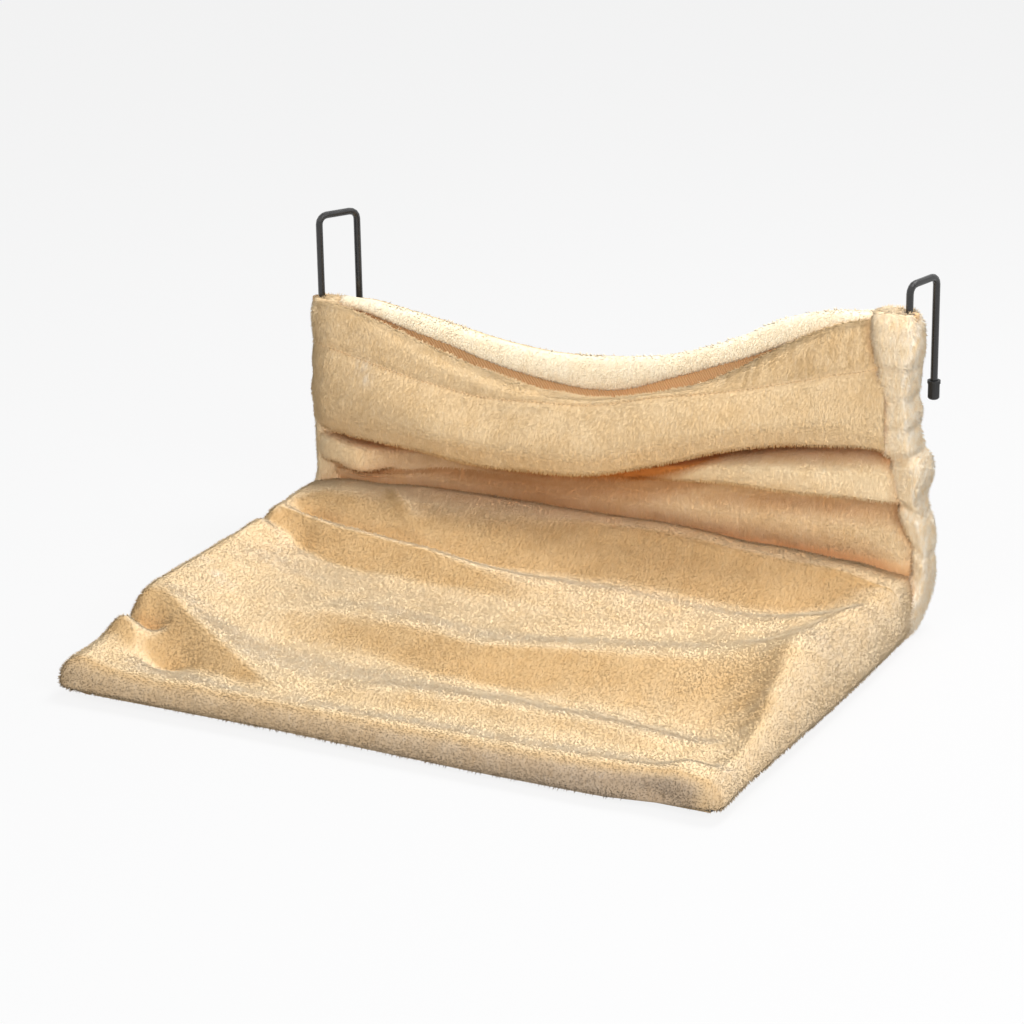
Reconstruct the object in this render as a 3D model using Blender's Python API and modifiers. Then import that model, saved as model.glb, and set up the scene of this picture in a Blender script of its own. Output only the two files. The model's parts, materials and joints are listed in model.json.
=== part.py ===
# Radiator cat bed: a plush cover over a knock-down tube frame that hangs on two wire hooks.
# +X is the right-hand side seen from the front, +Y points at the radiator and +Z is up.
# The origin lies on the floor under the middle of the whole bed, hooks included.
import math

import bmesh
import bpy
from mathutils import Matrix, Vector

MM = 0.001

# Driving dimensions of the frame
HOOK_SPACING = 440 * MM
SEAT_LENGTH = 328 * MM
TUBE_DIAMETER = 10 * MM
TUBE_WALL = 1 * MM
BEND_RADIUS = 30 * MM
TUBE_TOP_DEPTH = 28 * MM
FRONT_OVERHANG = 8 * MM
REAR_CROSSBAR_SETBACK = 36 * MM
FIT = 0.3 * MM
OVERRUN = 1 * MM

# Hooks
WIRE_DIAMETER = 5 * MM
HOOK_RISE = 22 * MM
HOOK_REACH = 30 * MM
HOOK_DROP = 88 * MM
HOOK_CORNER_RADIUS = 6 * MM
LEFT_HOOK_TURN = math.radians(34)
RIGHT_HOOK_TURN = math.radians(16)
CAP_LENGTH = 13 * MM
CAP_WALL = 1.2 * MM
CAP_FLOOR = 1.6 * MM
CAP_LIP = 0.5 * MM
CAP_LIP_HEIGHT = 2 * MM
INSERT_LENGTH = 14 * MM
FLANGE_HEIGHT = 1.5 * MM
NUT_ACROSS_FLATS = 8 * MM
NUT_HEIGHT = 4 * MM

# Screws and plugs
SCREW_DIAMETER = 4 * MM
SCREW_LENGTH = 22 * MM
SCREW_HEAD_DIAMETER = 8 * MM
SCREW_HEAD_HEIGHT = 2.4 * MM
PAN_HEAD_SHARES = ((0.55, 0.88), (0.88, 0.6))
PLUG_FLAT_SHARE = 0.7
CROSSBAR_COPE = 2 * MM
PLUG_DEPTH = 5 * MM
PLUG_HEAD = 2 * MM

# Cover
CLOTH = 6 * MM
CHANNEL_WIDTH = 31.3 * MM
SIDE_WALL_HEIGHT = 40 * MM
BACK_TOP_HEIGHT = 218 * MM
CREASE_HEIGHT = 42 * MM
CHANNEL_JOIN_HEIGHT = 60 * MM
FOLD_DEPTH = 30 * MM
LEFT_TOP_SHARE = 0.773
PUFF = 3 * MM
FRONT_PUFF = 1.5 * MM
CORNER_RADIUS = 9 * MM
SEAM_CORNER_RADIUS = 2.5 * MM
SEAM_LIFT = 9 * MM
CREST_RADIUS = 7 * MM
CREST_INSET = 4 * MM
FLAT_CUT = 0.5 * MM

# Counts
TUBE_SIDES = 16
WIRE_SIDES = 12
SCREW_SIDES = 12
BEND_STEPS = 7
CORNER_STEPS = 4
SLEEVE_SIDES = 14
PANEL_COLUMNS = 20
BACK_ROWS = 22
SEAT_ROWS = 26
HEM_ROWS = 2
SEAT_SLEEVE_STEPS = 16
BACK_SLEEVE_STEPS = 14
CORNER_TURN_SHARE = 0.8
SHARP_ANGLE = math.radians(40)

TUBE_RADIUS = TUBE_DIAMETER / 2
WIRE_RADIUS = WIRE_DIAMETER / 2
SCREW_RADIUS = SCREW_DIAMETER / 2
TUBE_FACET_SHARE = math.cos(math.pi / TUBE_SIDES)
BORE_RADIUS = TUBE_RADIUS * TUBE_FACET_SHARE - TUBE_WALL
SLEEVE_BORE = TUBE_RADIUS + FIT
CHANNEL_RADIUS = SLEEVE_BORE + CLOTH
RAIL_HEIGHT = CHANNEL_RADIUS
CAP_RADIUS = WIRE_RADIUS + FIT + CAP_WALL

# The cover sags to the left, each upright ends below the lower corner, and both hooks rise to one height.
LEFT_TOP_HEIGHT = CREASE_HEIGHT + LEFT_TOP_SHARE * (BACK_TOP_HEIGHT - CREASE_HEIGHT)
TUBE_TOP_HEIGHT = LEFT_TOP_HEIGHT - TUBE_TOP_DEPTH
HOOK_TOP_HEIGHT = BACK_TOP_HEIGHT + HOOK_RISE

# The bed is centred front to back on its own length, from the cover's front to the turned hook's cap.
REAR_REACH = HOOK_REACH * math.cos(RIGHT_HOOK_TURN) + CAP_RADIUS + CAP_LIP
FRONT_REACH = SEAT_LENGTH + FRONT_OVERHANG + PLUG_HEAD + FIT + CLOTH
UPRIGHT_Y = (FRONT_REACH - REAR_REACH) / 2
FRONT_BAR_Y = UPRIGHT_Y - SEAT_LENGTH
REAR_BAR_Y = UPRIGHT_Y - REAR_CROSSBAR_SETBACK
BEND_Y = UPRIGHT_Y - BEND_RADIUS
BEND_Z = RAIL_HEIGHT + BEND_RADIUS
TUBE_END_Y = FRONT_BAR_Y - FRONT_OVERHANG
UPRIGHT_X = HOOK_SPACING / 2
SEAM_X = UPRIGHT_X + CHANNEL_RADIUS - CHANNEL_WIDTH
PANEL_HALF_WIDTH = SEAM_X - FIT
REAR_FACE_Y = UPRIGHT_Y + CHANNEL_RADIUS
POCKET_Y = REAR_FACE_Y - CLOTH
FRONT_LAYER_Y = POCKET_Y - FIT - CLOTH

# Places of the cover's folds, from the left seam to the right seam. Heights are shares of the drop
# from the back's right-hand top corner to the crease; depths are shares of FOLD_DEPTH, forward of
# the hidden rear layer.
REAR_TOP_SHARES = (0.785, 0.765, 0.69, 0.665, 0.735, 0.90, 0.995, 1.0)
BAND_LOWER_SHARES = (0.72, 0.675, 0.60, 0.55, 0.605, 0.79, 0.94, 0.955)
FOOT_SHARE = 0.12
BACK_FOLDS = (
    ("top edge", (0.76, 0.675, 0.615, 0.55, 0.565, 0.66, 0.865, 0.97),
     (0.27, 0.26, 0.26, 0.26, 0.26, 0.25, 0.25, 0.25)),
    ("hem roll", (0.735, 0.64, 0.58, 0.53, 0.54, 0.635, 0.82, 0.93),
     (0.32, 0.41, 0.52, 0.56, 0.57, 0.47, 0.32, 0.27)),
    ("hem stitching", (0.59, 0.53, 0.49, 0.495, 0.515, 0.60, 0.71, 0.80),
     (0.38, 0.67, 0.81, 0.93, 0.92, 0.81, 0.63, 0.33)),
    ("upper roll", (0.45, 0.415, 0.39, 0.40, 0.44, 0.53, 0.625, 0.675),
     (0.42, 1.12, 1.36, 1.42, 1.34, 1.14, 0.86, 0.40)),
    ("upper roll front", (0.305, 0.31, 0.30, 0.31, 0.355, 0.46, 0.53, 0.54),
     (0.42, 1.16, 1.40, 1.46, 1.38, 1.18, 0.90, 0.42)),
    ("upper roll lip", (0.255, 0.26, 0.25, 0.26, 0.305, 0.41, 0.48, 0.49),
     (0.38, 1.00, 1.22, 1.28, 1.18, 1.00, 0.76, 0.36)),
    ("under the upper roll", (0.215, 0.195, 0.185, 0.20, 0.265, 0.375, 0.445, 0.45),
     (0.20, 0.14, 0.16, 0.18, 0.18, 0.20, 0.20, 0.20)),
    ("second roll crest", (0.18, 0.165, 0.165, 0.18, 0.245, 0.345, 0.385, 0.39),
     (0.42, 0.24, 0.18, 0.22, 0.52, 0.95, 0.98, 0.42)),
    ("second roll lip", (0.115, 0.125, 0.14, 0.155, 0.215, 0.29, 0.30, 0.285),
     (0.40, 0.22, 0.18, 0.20, 0.45, 0.85, 0.90, 0.40)),
    ("under the second roll", (0.085, 0.10, 0.11, 0.12, 0.175, 0.235, 0.255, 0.255),
     (0.20, 0.08, 0.08, 0.08, 0.12, 0.16, 0.16, 0.16)),
    ("lower back", (0.05, 0.055, 0.06, 0.065, 0.09, 0.12, 0.14, 0.14),
     (0.22, 0.08, 0.08, 0.09, 0.15, 0.26, 0.34, 0.24)),
    ("crease", (0.0,) * 8, (FOOT_SHARE,) * 8),
)

# Folds of the seat, from the left seam to the right seam. Places are shares of the way from the crease
# to the front crossbar; heights are shares of SIDE_WALL_HEIGHT.
SEAT_FOLDS = (
    ("under the back", (0.022,) * 7, (1.02, 1.03, 1.03, 1.03, 1.03, 1.00, 0.98)),
    ("first ridge, rear", (0.04, 0.035, 0.035, 0.035, 0.035, 0.05, 0.06),
     (1.08, 1.20, 1.20, 1.20, 1.20, 1.14, 1.03)),
    ("first ridge", (0.095, 0.095, 0.095, 0.095, 0.095, 0.11, 0.12),
     (1.14, 1.30, 1.30, 1.30, 1.30, 1.25, 1.05)),
    ("first ridge, front", (0.165, 0.19, 0.20, 0.17, 0.15, 0.16, 0.15),
     (1.06, 1.20, 1.13, 1.06, 1.05, 1.01, 0.97)),
    ("first valley", (0.20, 0.235, 0.25, 0.23, 0.21, 0.22, 0.20),
     (0.92, 0.72, 0.70, 0.67, 0.65, 0.66, 0.92)),
    ("second ridge", (0.235, 0.275, 0.295, 0.295, 0.285, 0.29, 0.25),
     (0.94, 1.02, 0.92, 0.77, 0.69, 0.69, 0.91)),
    ("second dip", (0.29, 0.34, 0.365, 0.40, 0.40, 0.37, 0.32),
     (0.86, 0.62, 0.63, 0.65, 0.65, 0.67, 0.95)),
    ("middle", (0.46, 0.475, 0.50, 0.515, 0.485, 0.445, 0.415),
     (0.94, 0.63, 0.62, 0.60, 0.62, 0.68, 1.05)),
    ("third ridge", (0.60, 0.59, 0.60, 0.63, 0.59, 0.55, 0.52),
     (0.99, 0.68, 0.70, 0.73, 0.74, 0.74, 1.04)),
    ("third valley", (0.73, 0.695, 0.69, 0.695, 0.69, 0.69, 0.68),
     (0.90, 0.48, 0.35, 0.33, 0.33, 0.34, 0.64)),
    ("fourth ridge", (0.82, 0.855, 0.865, 0.85, 0.84, 0.84, 0.835),
     (0.69, 0.66, 0.56, 0.56, 0.56, 0.52, 0.44)),
    ("front dip", (0.90, 0.92, 0.93, 0.925, 0.92, 0.92, 0.92),
     (0.60, 0.44, 0.43, 0.43, 0.42, 0.42, 0.46)),
)

# Each side wall from the front corner up to the upright: its crest, and the seam along the seat's
# edge, as shares of SIDE_WALL_HEIGHT. The bunching of the sleeve on each upright is in shares of PUFF.
LEFT_CREST_SHARES = (0.62, 0.70, 0.72, 1.08, 1.14, 1.10, 1.04, 1.14, 1.05, 0.55)
RIGHT_CREST_SHARES = (0.62, 0.56, 0.60, 0.90, 1.18, 1.12, 1.05, 1.00, 1.00, 0.55)
LEFT_SEAM_SHARES = (0.50, 0.59, 0.68, 0.92, 0.98, 0.91, 0.86, 1.08, 1.00, 0.51)
RIGHT_SEAM_SHARES = (0.50, 0.47, 0.43, 0.62, 1.02, 1.04, 0.92, 0.94, 0.93, 0.51)
LEFT_BUNCH_SHARES = (0.5, 1.0, -0.3, 0.5, 0.2, 0.7, -0.6, 0.4, -0.5, 0.3, 0.0)
RIGHT_BUNCH_SHARES = (0.9, 1.0, 0.5, 1.0, -0.3, 0.6, -0.5, 0.2, 0.7, -0.2, 0.1)
FRONT_EDGE_SHARES = (0.2, -0.3, 0.5, -0.2, 0.4, 0.0, 0.3)

BLACK_STEEL = ("black_steel", (0.012, 0.012, 0.013), 0.32, 0.4)
ZINC = ("zinc_plated_steel", (0.62, 0.62, 0.60), 0.35, 1.0)
RUBBER = ("black_rubber", (0.014, 0.014, 0.014), 0.65, 0.0)
PLASTIC = ("black_plastic", (0.02, 0.02, 0.02), 0.5, 0.0)
PLUSH = ("cream_plush", (0.80, 0.58, 0.33), 0.9, 0.0)
FLEECE = ("hem_fleece", (0.82, 0.66, 0.44), 0.95, 0.0)


def clear_scene():
    for old in list(bpy.data.objects):
        bpy.data.objects.remove(old, do_unlink=True)


def new_collection(name):
    collection = bpy.data.collections.new(name)
    bpy.context.scene.collection.children.link(collection)
    return collection


def material(finish):
    name, colour, roughness, metallic = finish
    found = bpy.data.materials.get(name)
    if found:
        return found
    made = bpy.data.materials.new(name)
    made.use_nodes = True
    shader = made.node_tree.nodes["Principled BSDF"]
    shader.inputs["Base Color"].default_value = (*colour, 1)
    shader.inputs["Roughness"].default_value = roughness
    shader.inputs["Metallic"].default_value = metallic
    return made


def link_object(name, data, collection, finish=None):
    obj = bpy.data.objects.new(name, data)
    collection.objects.link(obj)
    if finish:
        data.materials.clear()
        data.materials.append(material(finish))
    return obj


def mesh_object(name, bm, finish, smooth=True):
    bmesh.ops.recalc_face_normals(bm, faces=bm.faces)
    mesh = bpy.data.meshes.new(name)
    bm.to_mesh(mesh)
    bm.free()
    if smooth:
        mesh.shade_smooth()
        mesh.set_sharp_from_angle(angle=SHARP_ANGLE)
    return link_object(name, mesh, parts, finish)


# Curves and interpolation
def smooth(values, share):
    """Value at a share of the way along evenly spaced values, on a Catmull-Rom curve."""
    last = len(values) - 1
    place = min(max(share, 0), 1) * last
    index = min(int(place), last - 1)
    t = place - index
    before = values[max(index - 1, 0)]
    start, end = values[index], values[index + 1]
    after = values[min(index + 2, last)]
    return (start + 0.5 * t * (end - before)
            + t * t * (before - 2.5 * start + 2 * end - 0.5 * after)
            + t * t * t * (1.5 * (start - end) + 0.5 * (after - before)))


def rounded_path(corners, radius, steps):
    """The corners' path with each inner corner turned into an arc."""
    path = [corners[0]]
    for before, corner, after in zip(corners, corners[1:], corners[2:]):
        to_before = (before - corner).normalized()
        to_after = (after - corner).normalized()
        half = to_before.angle(to_after) / 2
        centre = corner + (to_before + to_after).normalized() * radius / math.sin(half)
        start = corner + to_before * radius / math.tan(half) - centre
        end = corner + to_after * radius / math.tan(half) - centre
        sweep = start.angle(end)
        for step in range(steps + 1):
            turn = sweep * step / steps
            arc = start * math.sin(sweep - turn) + end * math.sin(turn)
            path.append(centre + arc / math.sin(sweep))
    path.append(corners[-1])
    return path


def curve_object(name, path, radius, sides, capped):
    curve = bpy.data.curves.new(name, "CURVE")
    curve.dimensions = "3D"
    curve.bevel_depth = radius
    curve.bevel_resolution = sides // 2 - 2
    curve.render_resolution_u = 0
    curve.use_fill_caps = capped
    spline = curve.splines.new("POLY")
    spline.points.add(len(path) - 1)
    for point, place in zip(spline.points, path):
        point.co = (*place, 1)
        point.tilt = math.pi / sides
    return link_object(name, curve, parts)


def mesh_from(obj, name, finish):
    """The evaluated shape of an object as a welded mesh object, which takes its place."""
    bpy.context.view_layer.update()
    graph = bpy.context.evaluated_depsgraph_get()
    mesh = bpy.data.meshes.new_from_object(obj.evaluated_get(graph))
    bm = bmesh.new()
    bm.from_mesh(mesh)
    bmesh.ops.remove_doubles(bm, verts=bm.verts, dist=FIT / 10)
    bm.to_mesh(mesh)
    bm.free()
    matrix = obj.matrix_world.copy()
    bpy.data.objects.remove(obj, do_unlink=True)
    mesh.shade_smooth()
    mesh.set_sharp_from_angle(angle=SHARP_ANGLE)
    made = link_object(name, mesh, parts, finish)
    made.matrix_world = matrix
    return made


def solid_wire(name, path, radius, finish):
    return mesh_from(curve_object(name + "_line", path, radius, WIRE_SIDES, True), name, finish)


def tube(name, path, finish):
    made = mesh_from(curve_object(name + "_line", path, TUBE_RADIUS, TUBE_SIDES, False), name, finish)
    wall = made.modifiers.new("wall", "SOLIDIFY")
    wall.thickness = TUBE_WALL
    wall.offset = -1
    wall.use_even_offset = True
    return made


def drill(obj, name, centre, axis, radius, length):
    """Cuts a round hole centred on a point, along X, Y or Z."""
    turn = {"X": Matrix.Rotation(math.pi / 2, 4, "Y"), "Y": Matrix.Rotation(math.pi / 2, 4, "X"),
            "Z": Matrix.Identity(4)}[axis]
    bm = bmesh.new()
    bmesh.ops.create_cone(bm, cap_ends=True, segments=TUBE_SIDES, radius1=radius, radius2=radius,
                          depth=length, matrix=Matrix.Translation(centre) @ turn)
    mesh = bpy.data.meshes.new(name)
    bm.to_mesh(mesh)
    bm.free()
    cutter = link_object(name, mesh, cutters)
    cutter.hide_render = True
    cutter.display_type = "WIRE"
    cut = obj.modifiers.new(name, "BOOLEAN")
    cut.operation = "DIFFERENCE"
    cut.solver = "EXACT"
    cut.object = cutter


def turned(name, outline, closed, finish, sides=TUBE_SIDES):
    """A profile of (radius, height) points, turned about Z."""
    bm = bmesh.new()
    corners = [bm.verts.new((radius, 0, height)) for radius, height in outline]
    for start, end in zip(corners, corners[1:]):
        bm.edges.new((start, end))
    if closed:
        bm.edges.new((corners[-1], corners[0]))
    mesh = bpy.data.meshes.new(name)
    bm.to_mesh(mesh)
    bm.free()
    obj = link_object(name, mesh, parts, finish)
    screw = obj.modifiers.new("turn", "SCREW")
    screw.steps = sides
    screw.render_steps = sides
    screw.use_merge_vertices = True
    screw.merge_threshold = FIT / 10
    return obj


# Frame
def side_tube(name, side):
    corners = [Vector((side * UPRIGHT_X, TUBE_END_Y, RAIL_HEIGHT)),
               Vector((side * UPRIGHT_X, UPRIGHT_Y, RAIL_HEIGHT)),
               Vector((side * UPRIGHT_X, UPRIGHT_Y, TUBE_TOP_HEIGHT))]
    made = tube(name, rounded_path(corners, BEND_RADIUS, BEND_STEPS), BLACK_STEEL)
    for bar, bar_y in (("front", FRONT_BAR_Y), ("rear", REAR_BAR_Y)):
        drill(made, f"{name}_{bar}_hole", (side * UPRIGHT_X, bar_y, RAIL_HEIGHT), "X",
              SCREW_RADIUS + FIT, TUBE_DIAMETER + OVERRUN)
    return made


def crossbar(name, bar_y):
    """A straight tube whose ends are coped to sit round the side tubes."""
    end_x = UPRIGHT_X - CROSSBAR_COPE
    made = tube(name, [Vector((-end_x, bar_y, RAIL_HEIGHT)), Vector((end_x, bar_y, RAIL_HEIGHT))],
                BLACK_STEEL)
    for label, side in (("left", -1), ("right", 1)):
        drill(made, f"{name}_{label}_cope", (side * UPRIGHT_X, bar_y, RAIL_HEIGHT), "Y",
              (TUBE_RADIUS + FIT) / TUBE_FACET_SHARE, TUBE_DIAMETER + OVERRUN)
    return made


def at_joint(obj, side, bar_y):
    """Puts a piece drawn about its own Z axis where a crossbar meets a side tube, facing outward."""
    obj.matrix_world = (Matrix.Translation((side * UPRIGHT_X, bar_y, RAIL_HEIGHT))
                        @ Matrix.Rotation(side * math.pi / 2, 4, "Y"))
    return obj


def crossbar_insert(name, side, bar_y):
    """Threaded insert pressed into the end of a crossbar."""
    outer = BORE_RADIUS - FIT
    inner = SCREW_RADIUS + FIT
    top = -TUBE_RADIUS - FIT - FIT
    outline = [(outer, top), (outer, top - INSERT_LENGTH), (inner, top - INSERT_LENGTH), (inner, top)]
    return at_joint(turned(name, outline, True, ZINC), side, bar_y)


def crossbar_screw(name, side, bar_y):
    """Pan-head machine screw, from outside the side tube into the crossbar's insert."""
    head = SCREW_HEAD_DIAMETER / 2
    seat = TUBE_RADIUS + FIT
    crown = seat + SCREW_HEAD_HEIGHT
    outline = [(0, crown)]
    outline += [(head * wide, seat + SCREW_HEAD_HEIGHT * high) for wide, high in PAN_HEAD_SHARES]
    outline += [(head, seat), (SCREW_RADIUS, seat), (SCREW_RADIUS, seat - SCREW_LENGTH),
                (0, seat - SCREW_LENGTH)]
    return at_joint(turned(name, outline, False, ZINC, SCREW_SIDES), side, bar_y)


def tube_plug(name, side):
    body = BORE_RADIUS - FIT
    outline = [(0, PLUG_HEAD), (TUBE_RADIUS * PLUG_FLAT_SHARE, PLUG_HEAD), (TUBE_RADIUS, PLUG_HEAD / 2),
               (TUBE_RADIUS, FIT), (body, FIT), (body, -PLUG_DEPTH), (0, -PLUG_DEPTH)]
    plug = turned(name, outline, False, PLASTIC)
    plug.rotation_euler = (math.pi / 2, 0, 0)
    plug.location = (side * UPRIGHT_X, TUBE_END_Y, RAIL_HEIGHT)
    return plug


# Hooks
def hook_insert(name, side):
    """Flanged threaded insert in the top of an upright, which the hook's shank turns in."""
    body = BORE_RADIUS - FIT
    inner = WIRE_RADIUS + FIT
    outline = [(TUBE_RADIUS, FIT + FLANGE_HEIGHT), (TUBE_RADIUS, FIT), (body, FIT),
               (body, -INSERT_LENGTH), (inner, -INSERT_LENGTH), (inner, FIT + FLANGE_HEIGHT)]
    insert = turned(name, outline, True, ZINC)
    insert.location = (side * UPRIGHT_X, UPRIGHT_Y, TUBE_TOP_HEIGHT)
    return insert


def lock_nut(name, side):
    bottom = TUBE_TOP_HEIGHT + FIT + FLANGE_HEIGHT + FIT
    centre = Vector((side * UPRIGHT_X, UPRIGHT_Y, bottom + NUT_HEIGHT / 2))
    bm = bmesh.new()
    corner_radius = NUT_ACROSS_FLATS / 2 / math.cos(math.pi / 6)
    bmesh.ops.create_cone(bm, cap_ends=True, segments=6, radius1=corner_radius,
                          radius2=corner_radius, depth=NUT_HEIGHT, matrix=Matrix.Translation(centre))
    nut = mesh_object(name, bm, ZINC, smooth=False)
    drill(nut, name + "_bore", centre, "Z", WIRE_RADIUS + FIT, NUT_HEIGHT + OVERRUN)
    return nut


def place_on_upright(obj, side, turn):
    """Puts a piece drawn about its own Z axis on an upright's axis, turned towards +X."""
    obj.matrix_world = (Matrix.Translation((side * UPRIGHT_X, UPRIGHT_Y, 0))
                        @ Matrix.Rotation(-turn, 4, "Z"))
    return obj


def hook(name, side, turn):
    top = HOOK_TOP_HEIGHT - WIRE_RADIUS
    foot = TUBE_TOP_HEIGHT - INSERT_LENGTH
    tip = HOOK_TOP_HEIGHT - HOOK_DROP + CAP_FLOOR + FIT
    corners = [Vector((0, 0, foot)), Vector((0, 0, top)), Vector((0, HOOK_REACH, top)),
               Vector((0, HOOK_REACH, tip))]
    path = rounded_path(corners, HOOK_CORNER_RADIUS, CORNER_STEPS)
    return place_on_upright(solid_wire(name, path, WIRE_RADIUS, BLACK_STEEL), side, turn)


def hook_cap(name, side, turn):
    """Rubber cap on the end of the rear leg, with a thicker lip at its mouth."""
    bottom = HOOK_TOP_HEIGHT - HOOK_DROP
    mouth = bottom + CAP_LENGTH
    inner = WIRE_RADIUS + FIT
    lip = CAP_RADIUS + CAP_LIP
    outline = [(inner, mouth), (lip, mouth), (lip, mouth - CAP_LIP_HEIGHT),
               (CAP_RADIUS, mouth - CAP_LIP_HEIGHT), (CAP_RADIUS, bottom + CAP_WALL),
               (CAP_RADIUS - CAP_WALL / 2, bottom + CAP_WALL / 3), (CAP_RADIUS - CAP_WALL, bottom),
               (0, bottom)]
    inside = [(0, bottom + CAP_FLOOR), (inner, bottom + CAP_FLOOR)]
    cap = mesh_from(turned(name + "_turn", inside + outline, False, RUBBER), name, RUBBER)
    cap.data.transform(Matrix.Translation((0, HOOK_REACH, 0)))
    return place_on_upright(cap, side, turn)


# Cover
def back_height(share):
    return CREASE_HEIGHT + share * (BACK_TOP_HEIGHT - CREASE_HEIGHT)


def across_x(share):
    return PANEL_HALF_WIDTH * (2 * share - 1)


def cloth_sheet(name, columns, rows, place, finish):
    """A sheet of cloth: its face lies at place(across, along, 0) and its back at place(across, along, 1)."""
    bm = bmesh.new()
    bmesh.ops.create_grid(bm, x_segments=columns, y_segments=rows, size=1)
    extruded = bmesh.ops.extrude_face_region(bm, geom=list(bm.faces))["geom"]
    backs = {item for item in extruded if isinstance(item, bmesh.types.BMVert)}
    for vert in bm.verts:
        vert.co = place((vert.co.x + 1) / 2, (vert.co.y + 1) / 2, vert in backs)
    bmesh.ops.triangulate(bm, faces=bm.faces, quad_method="FIXED")
    return mesh_object(name, bm, finish)


def back_place(across, along, behind):
    """The back's front layer, from its sagging top edge down to the crease."""
    heights = [smooth(shares, across) for _, shares, _ in BACK_FOLDS]
    depths = [smooth(shares, across) for _, _, shares in BACK_FOLDS]
    y = FRONT_LAYER_Y - FOLD_DEPTH * smooth(depths, along)
    return Vector((across_x(across), y + behind * CLOTH, back_height(smooth(heights, along))))


def seat_place(across, along, behind):
    """The top of the seat, from under the back to the front crossbar."""
    rear_y = FRONT_LAYER_Y - FOLD_DEPTH * FOOT_SHARE + CLOTH
    places = [0] + [smooth(shares, across) for _, shares, _ in SEAT_FOLDS] + [1]
    rear = (CREASE_HEIGHT - FIT) / SIDE_WALL_HEIGHT
    front = 2 * RAIL_HEIGHT / SIDE_WALL_HEIGHT
    heights = [rear] + [smooth(shares, across) for _, _, shares in SEAT_FOLDS] + [front]
    y = rear_y + (FRONT_BAR_Y + FIT - rear_y) * smooth(places, along)
    return Vector((across_x(across), y, SIDE_WALL_HEIGHT * smooth(heights, along) - behind * CLOTH))


def rear_place(across, along, behind):
    """The layer against the radiator, from the underside round the bend to the sagging top edge."""
    step = along * (BEND_STEPS + HEM_ROWS)
    reach = BEND_RADIUS + CHANNEL_RADIUS - behind * CLOTH
    turn = math.pi / 2 * min(step / BEND_STEPS, 1)
    rise = max(step - BEND_STEPS, 0) / HEM_ROWS
    top = back_height(smooth(REAR_TOP_SHARES, across))
    z = BEND_Z - reach * math.cos(turn)
    return Vector((across_x(across), BEND_Y + reach * math.sin(turn), z + (top - BEND_Z) * rise))


def hem_place(across, along, behind):
    """The rear layer's top edge, turned in over the front of that layer."""
    low = back_height(smooth(BAND_LOWER_SHARES, across))
    high = back_height(smooth(REAR_TOP_SHARES, across))
    y = POCKET_Y - FIT - CLOTH * (1 - behind)
    return Vector((across_x(across), y, low + (high - low) * along))


def under_place(across, along, behind):
    length = BEND_Y - FRONT_BAR_Y - 2 * FIT
    return Vector((across_x(across), FRONT_BAR_Y + FIT + length * along, CLOTH * behind))


def front_edge_place(across, along, behind):
    """The rounded front edge, from the top of the crossbar round its front to the underside."""
    turn = math.pi / 2 + math.pi * along
    swell = FRONT_PUFF * smooth(FRONT_EDGE_SHARES, across) * math.sin(math.pi * along) ** 2
    radius = CHANNEL_RADIUS - behind * CLOTH + (1 - behind) * swell
    return Vector((across_x(across), FRONT_BAR_Y + radius * math.cos(turn),
                   RAIL_HEIGHT + radius * math.sin(turn)))


def rail_frame(distance):
    """Centre line of a side tube at a distance from its front end, and the way up or forward."""
    straight = BEND_Y - TUBE_END_Y
    turn = min(max(distance - straight, 0) / BEND_RADIUS, math.pi / 2)
    rise = max(distance - straight - BEND_RADIUS * math.pi / 2, 0)
    centre = Vector((0, TUBE_END_Y + min(distance, straight) + BEND_RADIUS * math.sin(turn),
                     BEND_Z - BEND_RADIUS * math.cos(turn) + rise))
    return centre, Vector((0, -math.sin(turn), math.cos(turn)))


def sleeve_ring(side, distance, circles, squeeze=1):
    """One ring of a sleeve: the outline round a few circles, each (inward, crestward, radius)."""
    centre, crestward = rail_frame(distance)
    middle = (CHANNEL_WIDTH - 2 * CHANNEL_RADIUS) / 2
    ring = []
    for index in range(SLEEVE_SIDES):
        turn = 2 * math.pi * (index + 0.5) / SLEEVE_SIDES
        inward, lift = math.cos(turn), math.sin(turn)
        widest = max(circles, key=lambda circle: circle[0] * inward + circle[1] * lift + circle[2])
        across = middle + (widest[0] + widest[2] * inward - middle) * squeeze
        out = max((widest[1] + widest[2] * lift) * squeeze, -CHANNEL_RADIUS)
        ring.append(centre + crestward * out + Vector((side * (UPRIGHT_X - across), 0, 0)))
    return ring


def bore_ring(side, distance):
    radius = SLEEVE_BORE / math.cos(math.pi / SLEEVE_SIDES)
    return sleeve_ring(side, distance, [(0, 0, radius)])


def sleeve(name, outer, inner, blind):
    """Lofts a soft tube through its outer rings one way and its inner rings back."""
    bm = bmesh.new()
    rings = [[bm.verts.new(point) for point in ring] for ring in outer + inner]
    pairs = list(zip(rings, rings[1:]))
    if blind:
        bm.faces.new(rings[0])
        bm.faces.new(rings[-1])
    else:
        pairs.append((rings[-1], rings[0]))
    for ring, following in pairs:
        for index in range(SLEEVE_SIDES):
            after = (index + 1) % SLEEVE_SIDES
            bm.faces.new((ring[index], ring[after], following[after], following[index]))
    return mesh_object(name, bm, PLUSH)


def seam_circles(lift):
    """The channel's inner edge, where the cover's layers are sewn together."""
    corner = SEAM_CORNER_RADIUS
    inner = CHANNEL_WIDTH - CHANNEL_RADIUS - corner
    return [(inner, corner - CHANNEL_RADIUS, corner), (inner, lift - corner, corner)]


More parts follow.
